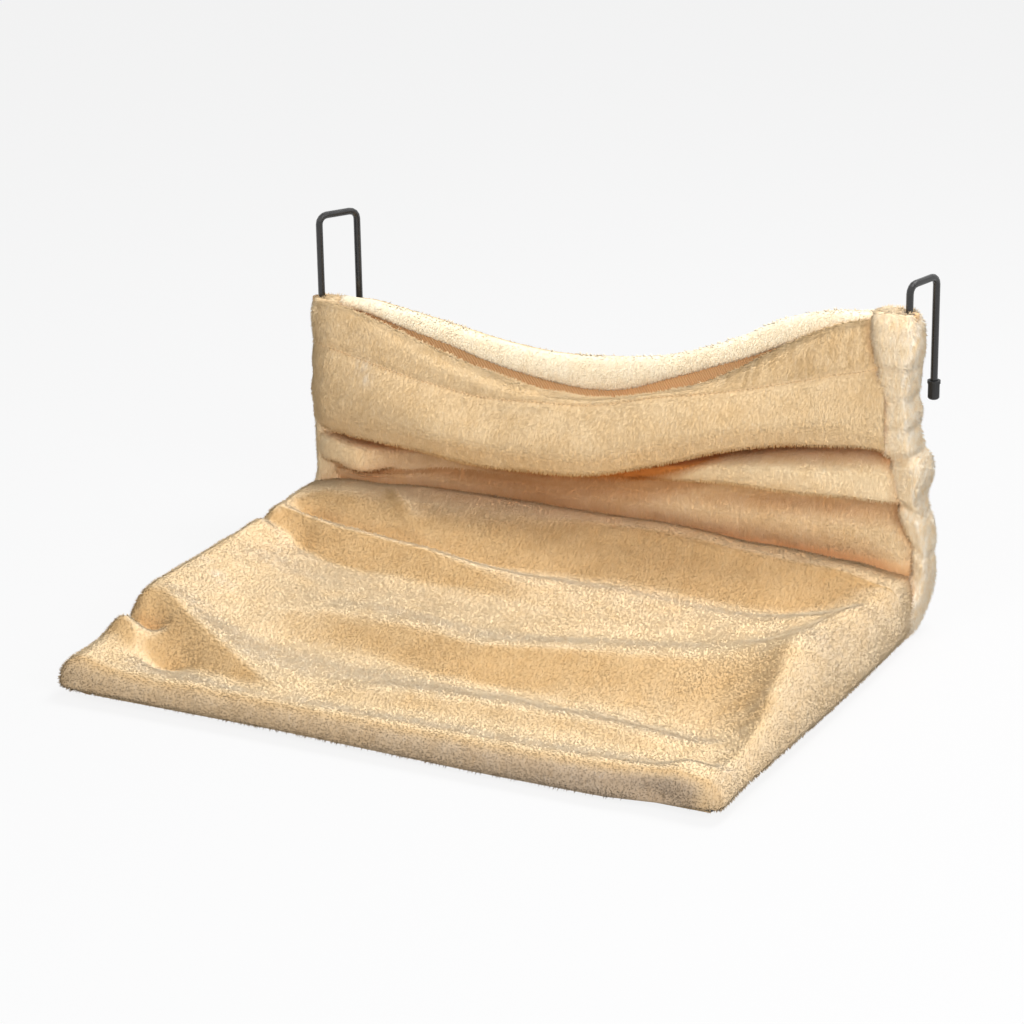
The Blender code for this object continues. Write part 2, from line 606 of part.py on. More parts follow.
def seat_channel(name, side, crest_shares, seam_shares):
    """The sleeve round a side rail, standing up as the seat's side wall, closed at the front."""
    straight = BEND_Y - TUBE_END_Y
    arc = BEND_RADIUS * math.pi / 2
    front = -PLUG_HEAD - FIT - CLOTH
    end = straight + arc + CHANNEL_JOIN_HEIGHT - BEND_Z - FIT
    stations = [front + CORNER_RADIUS + (end - front - CORNER_RADIUS) * step / SEAT_SLEEVE_STEPS
                for step in range(SEAT_SLEEVE_STEPS + 1)]
    tube_circle = (0, 0, CHANNEL_RADIUS + FLAT_CUT)

    def circles_at(distance):
        share = (distance - front) / (end - front)
        crest = SIDE_WALL_HEIGHT * smooth(crest_shares, share) - RAIL_HEIGHT - CREST_RADIUS
        seam = SIDE_WALL_HEIGHT * smooth(seam_shares, share) - RAIL_HEIGHT
        return [tube_circle, (CREST_INSET, crest, CREST_RADIUS)] + seam_circles(seam)

    outer = []
    for step in range(CORNER_STEPS):
        turn = math.pi / 2 * (1 - step / CORNER_STEPS) * CORNER_TURN_SHARE
        distance = front + CORNER_RADIUS * (1 - math.sin(turn))
        outer.append(sleeve_ring(side, distance, circles_at(distance), math.cos(turn)))
    outer += [sleeve_ring(side, distance, circles_at(distance)) for distance in stations]
    bore_stations = [-PLUG_HEAD - FIT, straight]
    bore_stations += [straight + arc * step / BEND_STEPS for step in range(1, BEND_STEPS + 1)] + [end]
    inner = [bore_ring(side, distance) for distance in reversed(bore_stations)]
    channel = sleeve(name, outer, inner, blind=True)
    for label, bar_y in (("front", FRONT_BAR_Y), ("rear", REAR_BAR_Y)):
        clear_crossbar(channel, f"{name}_{label}", side, bar_y)
    return channel


def clear_crossbar(channel, name, side, bar_y):
    """Openings in a sleeve's wall for the crossbar on its inner side and the screw head on its outer side."""
    near = CROSSBAR_COPE - OVERRUN
    far = CHANNEL_WIDTH - CHANNEL_RADIUS + OVERRUN
    drill(channel, name + "_bar_opening", (side * (UPRIGHT_X - (near + far) / 2), bar_y, RAIL_HEIGHT),
          "X", (TUBE_RADIUS + FIT) / TUBE_FACET_SHARE, far - near)
    near = TUBE_RADIUS - OVERRUN
    far = TUBE_RADIUS + FIT + SCREW_HEAD_HEIGHT + FIT
    drill(channel, name + "_screw_recess", (side * (UPRIGHT_X + (near + far) / 2), bar_y, RAIL_HEIGHT),
          "X", (SCREW_HEAD_DIAMETER / 2 + FIT) / TUBE_FACET_SHARE, far - near)


def back_channel(name, side, bunch_shares, top):
    """The bunched sleeve round an upright, open at the top, where the hook comes out."""
    start = BEND_Y - TUBE_END_Y + BEND_RADIUS * math.pi / 2 + CHANNEL_JOIN_HEIGHT - BEND_Z
    end = start + top - CHANNEL_JOIN_HEIGHT
    outer = []
    for step in range(BACK_SLEEVE_STEPS + 1):
        share = step / BACK_SLEEVE_STEPS
        puff = PUFF * smooth(bunch_shares, share)
        circles = [(0, 0, CHANNEL_RADIUS + puff), (0, 0, CHANNEL_RADIUS + FLAT_CUT)]
        outer.append(sleeve_ring(side, start + (end - start) * share, circles + seam_circles(SEAM_LIFT)))
    inner = [bore_ring(side, end), bore_ring(side, start)]
    return sleeve(name, outer, inner, blind=False)


clear_scene()
parts = new_collection("radiator_cat_bed")
cutters = new_collection("cutters")

for side_name, side, turn in (("left", -1, LEFT_HOOK_TURN), ("right", 1, RIGHT_HOOK_TURN)):
    side_tube(f"{side_name}_side_tube", side)
    tube_plug(f"{side_name}_tube_plug", side)
    hook_insert(f"{side_name}_hook_insert", side)
    lock_nut(f"{side_name}_lock_nut", side)
    hook(f"{side_name}_hook", side, turn)
    hook_cap(f"{side_name}_hook_cap", side, turn)
crossbar("front_crossbar", FRONT_BAR_Y)
crossbar("rear_crossbar", REAR_BAR_Y)
for bar_name, bar_y in (("front", FRONT_BAR_Y), ("rear", REAR_BAR_Y)):
    for side_name, side in (("left", -1), ("right", 1)):
        crossbar_insert(f"{bar_name}_{side_name}_insert", side, bar_y)
        crossbar_screw(f"{bar_name}_{side_name}_screw", side, bar_y)

cloth_sheet("cover_back_panel", PANEL_COLUMNS, BACK_ROWS, back_place, PLUSH)
cloth_sheet("cover_seat_panel", PANEL_COLUMNS, SEAT_ROWS, seat_place, PLUSH)
cloth_sheet("cover_front_edge", PANEL_COLUMNS, BEND_STEPS, front_edge_place, PLUSH)
cloth_sheet("cover_under_panel", 1, 1, under_place, PLUSH)
cloth_sheet("cover_rear_panel", PANEL_COLUMNS, BEND_STEPS + HEM_ROWS, rear_place, PLUSH)
cloth_sheet("cover_rear_hem", PANEL_COLUMNS, HEM_ROWS, hem_place, FLEECE)
seat_channel("cover_left_seat_channel", -1, LEFT_CREST_SHARES, LEFT_SEAM_SHARES)
seat_channel("cover_right_seat_channel", 1, RIGHT_CREST_SHARES, RIGHT_SEAM_SHARES)
back_channel("cover_left_back_channel", -1, LEFT_BUNCH_SHARES, LEFT_TOP_HEIGHT)
back_channel("cover_right_back_channel", 1, RIGHT_BUNCH_SHARES, BACK_TOP_HEIGHT)
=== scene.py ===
import json
import math

import bpy
import numpy as np
from mathutils import Matrix, Vector
from mathutils.bvhtree import BVHTree


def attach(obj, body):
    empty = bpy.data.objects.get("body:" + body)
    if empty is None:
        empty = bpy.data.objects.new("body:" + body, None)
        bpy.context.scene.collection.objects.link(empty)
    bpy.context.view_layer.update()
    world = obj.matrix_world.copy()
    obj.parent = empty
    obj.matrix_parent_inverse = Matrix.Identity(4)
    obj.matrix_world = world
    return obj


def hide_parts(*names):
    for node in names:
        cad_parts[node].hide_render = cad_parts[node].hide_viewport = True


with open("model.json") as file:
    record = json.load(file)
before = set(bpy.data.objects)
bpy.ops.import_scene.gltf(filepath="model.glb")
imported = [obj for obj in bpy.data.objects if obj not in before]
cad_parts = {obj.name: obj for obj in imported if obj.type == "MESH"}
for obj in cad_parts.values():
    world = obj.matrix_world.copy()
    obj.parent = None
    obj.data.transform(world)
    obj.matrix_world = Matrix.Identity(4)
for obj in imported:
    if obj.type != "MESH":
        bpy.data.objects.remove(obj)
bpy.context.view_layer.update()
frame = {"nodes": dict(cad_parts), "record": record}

mm = 0.001

# the tube frame's centre lines, in millimetres, as the CAD part has them
rail = {"x": 220.0, "z": 11.3, "uprightY": 155.48, "bend": 30.0, "bendY": 125.48, "bendZ": 41.3}


# smooth curves and nets of folds
def alongCurve(places, values, at):
    places = np.asarray(places, float)
    values = np.asarray(values, float)
    gaps = np.diff(places).reshape(-1, *[1] * (values.ndim - 1))
    slopes = np.diff(values, axis=0) / gaps
    inner = (slopes[:-1] * gaps[1:] + slopes[1:] * gaps[:-1]) / (gaps[:-1] + gaps[1:])
    tangents = np.concatenate([slopes[:1], inner, slopes[-1:]])
    at = np.clip(at, places[0], places[-1])
    index = np.clip(np.searchsorted(places, at, side="right") - 1, 0, len(places) - 2)
    gap = gaps[index]
    t = (at - places[index]).reshape(gap.shape) / gap
    start, end = values[index], values[index + 1]
    return (start * (1 + 2 * t) * (1 - t) ** 2 + end * t * t * (3 - 2 * t)
            + gap * (tangents[index] * t * (1 - t) ** 2 - tangents[index + 1] * t * t * (1 - t)))


def overNet(rowPlaces, colPlaces, table, rowAt, colAt):
    return alongCurve(colPlaces, alongCurve(rowPlaces, table, rowAt).T, colAt).T


def evenSteps(places, step):
    at = [places[0]]
    for start, end in zip(places, places[1:]):
        count = max(1, round((end - start) / step))
        at += [start + (end - start) * k / count for k in range(1, count + 1)]
    return np.array(at)


def waves(seed, count, shortest, longest):
    rng = np.random.default_rng(seed)
    length = rng.uniform(shortest, longest, count)
    turn = rng.uniform(0, 2 * math.pi, count)
    return [(math.cos(a) * 2 * math.pi / w, math.sin(a) * 2 * math.pi / w, p, w / longest)
            for w, a, p in zip(length, turn, rng.uniform(0, 2 * math.pi, count))]


def wavy(ripples, a, b):
    total = 0
    for u, v, phase, share in ripples:
        total = total + share * np.sin(a * u + b * v + phase)
    return total / math.sqrt(len(ripples))


def ease(value, low, high):
    t = np.clip((value - low) / (high - low), 0, 1)
    return t * t * (3 - 2 * t)


foldFall = 1.6  # how fast a fold's height falls off to its sides


def lineFold(x, y, fold):
    points = np.array(fold["line"], float)
    best, side, along = np.full(x.shape, 1e9), np.zeros(x.shape), np.zeros(x.shape)
    for k, (start, end) in enumerate(zip(points, points[1:])):
        d = end - start
        t = np.clip(((x - start[0]) * d[0] + (y - start[1]) * d[1]) / (d @ d), 0, 1)
        gapX, gapY = x - start[0] - t * d[0], y - start[1] - t * d[1]
        gap = np.hypot(gapX, gapY)
        near = gap < best
        best = np.where(near, gap, best)
        side = np.where(near, np.sign(d[0] * gapY - d[1] * gapX), side)
        along = np.where(near, (k + t) / (len(points) - 1), along)
    width = np.where(side > 0, fold["left"], fold["right"])
    fade = alongCurve(np.linspace(0, 1, len(fold["height"])), fold["height"], along.ravel())
    return fade.reshape(x.shape) * np.exp(-(best / width) ** foldFall)


def dimple(x, y, spot):
    (cx, cy), (wide, long), height = spot["at"], spot["size"], spot["height"]
    return height * np.exp(-((x - cx) / wide) ** 2 - ((y - cy) / long) ** 2)


# cloth pieces from grids of points; each one's grid and outward normals are kept for the fold shading
clothShapes = {}


def newObject(name, mesh):
    obj = bpy.data.objects.new(name, mesh)
    bpy.context.scene.collection.objects.link(obj)
    return obj


def pointValues(obj, name, values):
    layer = obj.data.attributes.get(name) or obj.data.attributes.new(name, "FLOAT", "POINT")
    layer.data.foreach_set("value", np.asarray(values, float).ravel())


def unitWays(ways):
    return ways / np.maximum(np.linalg.norm(ways, axis=-1, keepdims=True), 1e-9)


def outwards(grid, ring):
    across = (np.roll(grid, -1, 1) - np.roll(grid, 1, 1)) / 2 if ring else np.gradient(grid, axis=1)
    return unitWays(np.cross(across, np.gradient(grid, axis=0)))


def netFaces(rows, cols, ring):
    index = np.arange(rows * cols).reshape(rows, cols)
    if ring:
        index = np.concatenate([index, index[:, :1]], axis=1)
    corners = index[:-1, :-1], index[:-1, 1:], index[1:, 1:], index[1:, :-1]
    return index, np.stack(corners, axis=-1).reshape(-1, 4)


def clothMesh(name, grid, thick, finishes, ring=False, marks=None):
    rows, cols = grid.shape[:2]
    normal = outwards(grid, ring)
    points = np.concatenate([grid.reshape(-1, 3), (grid - normal * thick).reshape(-1, 3)]) * mm
    index, outer = netFaces(rows, cols, ring)
    back = rows * cols
    faces = [outer, outer[:, ::-1] + back]
    rims = [(index[0, 1:], index[0, :-1]), (index[-1, :-1], index[-1, 1:])]
    if not ring:
        rims += [(index[:-1, 0], index[1:, 0]), (index[1:, -1], index[:-1, -1])]
    for one, other in rims:
        faces.append(np.stack([one, other, other + back, one + back], axis=-1))
    mesh = bpy.data.meshes.new(name)
    mesh.from_pydata(points.tolist(), [], np.concatenate(faces).tolist())
    for finish in finishes:
        mesh.materials.append(finish)
    kinds = np.zeros(sum(len(f) for f in faces), int)
    kinds[len(outer):2 * len(outer)] = len(finishes) - 1
    mesh.polygons.foreach_set("material_index", kinds)
    mesh.polygons.foreach_set("use_smooth", np.ones(len(kinds), bool))
    lengths = [np.cumsum(np.linalg.norm(np.diff(grid, axis=way, prepend=first), axis=2), axis=way)
               for way, first in ((1, grid[:, :1]), (0, grid[:1]))]
    flat = np.tile(np.stack(lengths, axis=-1).reshape(-1, 2) * mm, (2, 1))
    layer = mesh.uv_layers.new(name="cloth")
    loops = np.zeros(len(mesh.loops), int)
    mesh.loops.foreach_get("vertex_index", loops)
    layer.data.foreach_set("uv", flat[loops].ravel())
    mesh.validate()
    marks = {"pileCover": np.ones((rows, cols)), **(marks or {})}
    clothShapes[name] = {"grid": grid, "normal": normal, "marks": marks}
    return newObject(name, mesh)


def closedLoft(name, grid, finish, marks):
    index, faces = netFaces(*grid.shape[:2], True)
    faces = faces.tolist() + [index[0, :-1][::-1].tolist(), index[-1, :-1].tolist()]
    mesh = bpy.data.meshes.new(name)
    mesh.from_pydata((grid.reshape(-1, 3) * mm).tolist(), [], faces)
    mesh.materials.append(finish)
    mesh.polygons.foreach_set("use_smooth", np.ones(len(faces), bool))
    mesh.validate()
    clothShapes[name] = {"grid": grid, "normal": outwards(grid, True), "marks": marks}
    return newObject(name, mesh)


# how open each point of the cloth lies to its surroundings, from short rays over its outer side; where it is low,
# the pile colour paints fold shade
openLook = {"rays": 20, "reach": 75.0, "lift": 1.2, "every": 2, "goldenTurn": 2.399963, "baldBelow": (0.04, 0.16)}


def measureOpenness(pieces):
    points, polygons = [], []
    for piece in pieces:
        start = len(points)
        points += [vertex.co.copy() for vertex in piece.data.vertices]
        polygons += [[start + k for k in face.vertices] for face in piece.data.polygons]
    tree = BVHTree.FromPolygons(points, polygons)
    count, reach = openLook["rays"], openLook["reach"] * mm
    radius = np.sqrt((np.arange(count) + 0.5) / count)
    turn = np.arange(count) * openLook["goldenTurn"]
    local = np.stack([radius * np.cos(turn), radius * np.sin(turn), np.sqrt(1 - radius ** 2)], axis=1)
    for piece in pieces:
        shape = clothShapes[piece.name]
        rows, cols = shape["grid"].shape[:2]
        pickRows = np.unique(np.append(np.arange(0, rows, openLook["every"]), rows - 1))
        pickCols = np.unique(np.append(np.arange(0, cols, openLook["every"]), cols - 1))
        normal = shape["normal"][np.ix_(pickRows, pickCols)].reshape(-1, 3)
        place = (shape["grid"][np.ix_(pickRows, pickCols)].reshape(-1, 3) + normal * openLook["lift"]) * mm
        guide = np.where(np.abs(normal[:, 2:]) < 0.9, [[0.0, 0.0, 1.0]], [[1.0, 0.0, 0.0]])
        one = unitWays(np.cross(normal, guide))
        two = np.cross(normal, one)
        share = np.zeros(len(place))
        for k, (at, u, v, w) in enumerate(zip(place, one, two, normal)):
            start = Vector(at)
            total = 0.0
            for x, y, z in local:
                hit = tree.ray_cast(start, Vector(u * x + v * y + w * z), reach)[3]
                total += 1.0 if hit is None else hit / reach
            share[k] = total / count
        share = share.reshape(len(pickRows), len(pickCols))
        wide = np.pad(share, 1, mode="edge")
        share = sum(wide[r:r + share.shape[0], c:c + share.shape[1]] for r in range(3) for c in range(3)) / 9
        full = np.array([np.interp(np.arange(cols), pickCols, line) for line in share])
        full = np.array([np.interp(np.arange(rows), pickRows, line) for line in full.T]).T
        # painted shadow under the roll lips lowers the openness, so fold shade is painted there too
        full = np.maximum(full * (1 - shape["marks"].pop("underLipShadow", 0)), shape.get("leastOpen", 0))
        shape["marks"]["openness"] = full
        shape["marks"]["pileCover"] = shape["marks"]["pileCover"] * ease(full, *openLook["baldBelow"])
        back = len(piece.data.vertices) - rows * cols
        for name, values in shape["marks"].items():
            behind = full.ravel() if name == "openness" else np.zeros(rows * cols)
            pointValues(piece, name, np.concatenate([values.ravel(), behind[:back]]))


# materials
def newMaterial(name):
    made = bpy.data.materials.new(name)
    made.use_nodes = True
    nodes, links = made.node_tree.nodes, made.node_tree.links
    return made, nodes, links, nodes["Principled BSDF"]


def setInputs(node, values):
    for socket, value in values.items():
        node.inputs[socket].default_value = value


def noiseNode(nodes, links, vector, scale, detail=2.0, rough=0.5):
    node = nodes.new("ShaderNodeTexNoise")
    setInputs(node, {"Scale": scale, "Detail": detail, "Roughness": rough})
    links.new(vector, node.inputs["Vector"])
    return node.outputs["Fac"]


def rangeNode(nodes, links, value, low, high, toLow=0.0, toHigh=1.0):
    node = nodes.new("ShaderNodeMapRange")
    setInputs(node, {"From Min": low, "From Max": high, "To Min": toLow, "To Max": toHigh})
    links.new(value, node.inputs["Value"])
    return node.outputs["Result"]


def mathNode(nodes, links, kind, one, other):
    node = nodes.new("ShaderNodeMath")
    node.operation = kind
    for socket, value in zip(node.inputs, (one, other)):
        if isinstance(value, bpy.types.NodeSocket):
            links.new(value, socket)
        else:
            socket.default_value = value
    return node.outputs[0]


def mixColour(nodes, links, share, one, other, blend="MIX"):
    node = nodes.new("ShaderNodeMix")
    node.data_type = "RGBA"
    node.blend_type = blend
    for socket, value in (("Factor_Float", share), ("A_Color", one), ("B_Color", other)):
        target = next(s for s in node.inputs if s.identifier == socket)
        if isinstance(value, bpy.types.NodeSocket):
            links.new(value, target)
        else:
            target.default_value = value if isinstance(value, float) else (*value, 1)
    return next(s for s in node.outputs if s.identifier == "Result_Color")


def times(nodes, links, one, other):
    return mathNode(nodes, links, "MULTIPLY", one, other)


def tinted(nodes, links, colour, tint):
    return mixColour(nodes, links, 1.0, colour, tint, "MULTIPLY")


def markNode(nodes, name, socket="Fac"):
    node = nodes.new("ShaderNodeAttribute")
    node.attribute_name = name
    return node.outputs[socket]


def bumpTo(nodes, links, shader, height, strength, depth, way=None):
    bump = nodes.new("ShaderNodeBump")
    setInputs(bump, {"Strength": strength, "Distance": depth})
    links.new(height, bump.inputs["Height"])
    if way is not None:
        links.new(way, bump.inputs["Normal"])
    links.new(bump.outputs["Normal"], shader.inputs["Normal"])


# what all the plush shares: scales of its patches and strokes, and the tints of its marks, several of which paint
# shade, shadow and highlight
pileLook = {"stretch": (2.0, 0.5, 0.5), "patchScale": 62, "strokeScale": 240, "fleckScale": 520, "rubScale": 110,
            # the hem strip's painted shadow colour, and the pale colour of spots and painted highlight
            "fleck": (0.97, 0.88, 0.70), "hemShadow": (0.60, 0.38, 0.17), "paleSpotAndHighlight": (0.97, 0.90, 0.78),
            "darkTuft": (0.97, 0.96, 0.94), "paleTuft": (1.03, 1.04, 1.06),
            # tints of painted shade on front-facing slopes and on the roll faces, and the openness range of the
            # painted fold shade
            "brushedAndPaintedShade": {"frontFacingShade": (0.70, 0.61, 0.49), "rollFaceShade": (0.50, 0.50, 0.57)}, "foldShadeRange": (0.10, 0.84)}


def pileGroup():
    tree = bpy.data.node_groups.new("brushed pile", "ShaderNodeTree")
    for name, kind in (("Pale", "NodeSocketColor"), ("Deep", "NodeSocketColor"), ("Fold", "NodeSocketColor"),
                       ("Grain", "NodeSocketFloat")):
        tree.interface.new_socket(name, in_out="INPUT", socket_type=kind)
    tree.interface.new_socket("Colour", in_out="OUTPUT", socket_type="NodeSocketColor")
    tree.interface.new_socket("Height", in_out="OUTPUT", socket_type="NodeSocketFloat")
    nodes, links = tree.nodes, tree.links
    source = nodes.new("NodeGroupInput")
    result = nodes.new("NodeGroupOutput")
    place = nodes.new("ShaderNodeTexCoord").outputs["Object"]
    stretch = nodes.new("ShaderNodeMapping")
    stretch.inputs["Scale"].default_value = pileLook["stretch"]
    links.new(place, stretch.inputs["Vector"])
    streaky = stretch.outputs["Vector"]
    patches = rangeNode(nodes, links, noiseNode(nodes, links, place, pileLook["patchScale"], 3), 0.3, 0.72)
    strokes, flecks, streaks = (
        rangeNode(nodes, links, noiseNode(nodes, links, streaky, pileLook[scale], detail, 0.6), low, high)
        for scale, detail, low, high in (("strokeScale", 3, 0.3, 0.72), ("fleckScale", 2, 0.56, 0.76),
                                         ("rubScale", 3, 0.38, 0.6)))
    shade = mathNode(nodes, links, "ADD", times(nodes, links, patches, 0.6), times(nodes, links, strokes, 0.4))
    colour = mixColour(nodes, links, shade, source.outputs["Deep"], source.outputs["Pale"])
    colour = mixColour(nodes, links, times(nodes, links, flecks, 0.3), colour, pileLook["fleck"])
    tone = rangeNode(nodes, links, markNode(nodes, "tuftTone"), -1.0, 1.0)
    colour = mixColour(nodes, links, tone, *[tinted(nodes, links, colour, pileLook[tuft])
                                             for tuft in ("darkTuft", "paleTuft")])
    # painted fold shade: the fold colour is mixed in where the cloth is closed in by other cloth
    foldShade = rangeNode(nodes, links, markNode(nodes, "openness"), *pileLook["foldShadeRange"])
    foldShade = mathNode(nodes, links, "POWER", foldShade, 0.7)
    colour = mixColour(nodes, links, foldShade, source.outputs["Fold"], colour)
    # painted shadow on the hem strip above the stitching, broken into brushed streaks
    hemShadow = times(nodes, links, times(nodes, links, markNode(nodes, "hemShadow"), streaks), 0.45)
    colour = mixColour(nodes, links, hemShadow, colour, pileLook["hemShadow"])
    # pale spots, and painted highlight on rear-facing slopes and on the right sleeve's right side
    paleSpotAndHighlight = times(nodes, links, markNode(nodes, "paleSpotAndHighlight"), strokes)
    colour = mixColour(nodes, links, paleSpotAndHighlight, colour, pileLook["paleSpotAndHighlight"])
    # painted shade on front-facing slopes and on the faces of the rolls
    for mark, tint in pileLook["brushedAndPaintedShade"].items():
        colour = mixColour(nodes, links, markNode(nodes, mark), colour, tinted(nodes, links, colour, tint))
    links.new(colour, result.inputs["Colour"])
    fine = nodes.new("ShaderNodeTexNoise")
    fine.inputs["Detail"].default_value = 3
    links.new(source.outputs["Grain"], fine.inputs["Scale"])
    links.new(place, fine.inputs["Vector"])
    grain = mathNode(nodes, links, "ADD", times(nodes, links, fine.outputs["Fac"], 0.14),
                     times(nodes, links, strokes, 0.22))
    links.new(mathNode(nodes, links, "ADD", patches, grain), result.inputs["Height"])
    return tree


def pileMaterial(name, look, tufts=False):
    made, nodes, links, shader = newMaterial(name)
    group = nodes.new("ShaderNodeGroup")
    group.node_tree = brushedPile
    for key in ("Pale", "Deep", "Fold"):
        group.inputs[key].default_value = (*look[key.lower()], 1)
    group.inputs["Grain"].default_value = look["grain"]
    links.new(group.outputs["Colour"], shader.inputs["Base Color"])
    way = nodes.new("ShaderNodeNewGeometry").outputs["Normal"]
    if tufts:
        blend = nodes.new("ShaderNodeMix")
        blend.data_type = "VECTOR"
        sockets = {s.identifier: s for s in blend.inputs}
        sockets["Factor_Float"].default_value = look["tuftNormal"]
        links.new(markNode(nodes, "clothWay", "Vector"), sockets["A_Vector"])
        links.new(way, sockets["B_Vector"])
        way = next(s for s in blend.outputs if s.identifier == "Result_Vector")
    tips = nodes.new("ShaderNodeVectorMath")
    tips.inputs[1].default_value = (0, 0, 0.22)  # a standing pile takes its light a little from above
    links.new(way, tips.inputs[0])
    unit = nodes.new("ShaderNodeVectorMath")
    unit.operation = "NORMALIZE"
    links.new(tips.outputs[0], unit.inputs[0])
    if tufts:
        links.new(unit.outputs[0], shader.inputs["Normal"])
    else:
        bumpTo(nodes, links, shader, group.outputs["Height"], look["bump"], 0.0015, unit.outputs[0])
    setInputs(shader, {"Roughness": 0.95, "Specular IOR Level": 0.1, "Sheen Weight": 0.0 if tufts else look["sheen"],
                       "Sheen Roughness": 0.5, "Sheen Tint": (1.0, 0.93, 0.8, 1)})
    return made


brushedPile = pileGroup()
# the fold colour is the painted shade of deep folds
plushLook = {"pale": (0.95, 0.74, 0.47), "deep": (0.84, 0.60, 0.33), "fold": (0.52, 0.20, 0.052), "grain": 900,
             "bump": 0.6, "sheen": 0.06, "tuftNormal": 0.07}
hemLook = {"pale": (0.97, 0.88, 0.70), "deep": (0.92, 0.77, 0.54), "fold": (0.82, 0.52, 0.26), "grain": 700,
           "bump": 0.8, "sheen": 0.25, "tuftNormal": 0.5}
plush = pileMaterial("creamPlush", plushLook)
plushTufts = pileMaterial("creamPlushTufts", plushLook, tufts=True)
hemFleece = pileMaterial("hemFleece", hemLook)
hemTufts = pileMaterial("hemFleeceTufts", hemLook, tufts=True)


def knitMaterial():
    made, nodes, links, shader = newMaterial("knitBacking")
    place = nodes.new("ShaderNodeUVMap")
    place.uv_map = "cloth"
    turn = nodes.new("ShaderNodeMapping")
    turn.inputs["Rotation"].default_value = (0, 0, math.radians(38))
    links.new(place.outputs["UV"], turn.inputs["Vector"])
    twill = nodes.new("ShaderNodeTexWave")
    setInputs(twill, {"Scale": 180, "Distortion": 1.2, "Detail": 2})
    links.new(turn.outputs["Vector"], twill.inputs["Vector"])
    colour = mixColour(nodes, links, twill.outputs["Fac"], (0.84, 0.48, 0.21), (0.92, 0.58, 0.29))
    links.new(colour, shader.inputs["Base Color"])
    bumpTo(nodes, links, shader, twill.outputs["Fac"], 0.4, 0.0006)
    shader.inputs["Roughness"].default_value = 0.9
    return made


knit = knitMaterial()


def threadMaterial():
    made, nodes, links, shader = newMaterial("sewingThread")
    cloud = noiseNode(nodes, links, nodes.new("ShaderNodeTexCoord").outputs["Object"], 900, 3)
    links.new(mixColour(nodes, links, cloud, (0.52, 0.32, 0.15), (0.78, 0.58, 0.36)), shader.inputs["Base Color"])
    links.new(rangeNode(nodes, links, cloud, 0.3, 0.7, 0.6, 0.85), shader.inputs["Roughness"])
    return made


thread = threadMaterial()


def hardMaterial(name, look):
    made, nodes, links, shader = newMaterial(name)
    place = nodes.new("ShaderNodeTexCoord").outputs["Object"]
    cloud = noiseNode(nodes, links, place, look["scale"], 4, 0.6)
    colour = mixColour(nodes, links, cloud, look["dark"], look["light"])
    links.new(colour, shader.inputs["Base Color"])
    links.new(rangeNode(nodes, links, cloud, 0.3, 0.7, *look["rough"]), shader.inputs["Roughness"])
    bumpTo(nodes, links, shader, cloud, look["bump"], 0.0003)
    setInputs(shader, {"Metallic": look["metal"], "Coat Weight": look["coat"]})
    return made


hardLooks = {
    "black_steel": {"dark": (0.006, 0.006, 0.006), "light": (0.014, 0.013, 0.013), "scale": 240,
                    "rough": (0.22, 0.36), "bump": 0.12, "metal": 0.0, "coat": 0.35},
    "zinc_plate": {"dark": (0.50, 0.50, 0.49), "light": (0.68, 0.68, 0.66), "scale": 500,
                   "rough": (0.28, 0.45), "bump": 0.1, "metal": 1.0, "coat": 0.0},
    "black_rubber": {"dark": (0.008, 0.008, 0.008), "light": (0.018, 0.017, 0.017), "scale": 700,
                     "rough": (0.5, 0.7), "bump": 0.3, "metal": 0.0, "coat": 0.0},
    "black_plastic": {"dark": (0.012, 0.012, 0.012), "light": (0.022, 0.022, 0.022), "scale": 600,
                      "rough": (0.4, 0.55), "bump": 0.2, "metal": 0.0, "coat": 0.0},
}
hardFinishes = {name: hardMaterial(name + "_finish", look) for name, look in hardLooks.items()}
for row in frame["record"]["subparts"]:
    finish = hardFinishes.get(row["material_slot"])
    if finish:
        for slot in frame["nodes"][row["node"]].material_slots:
            slot.material = finish
print("frame finishes set")

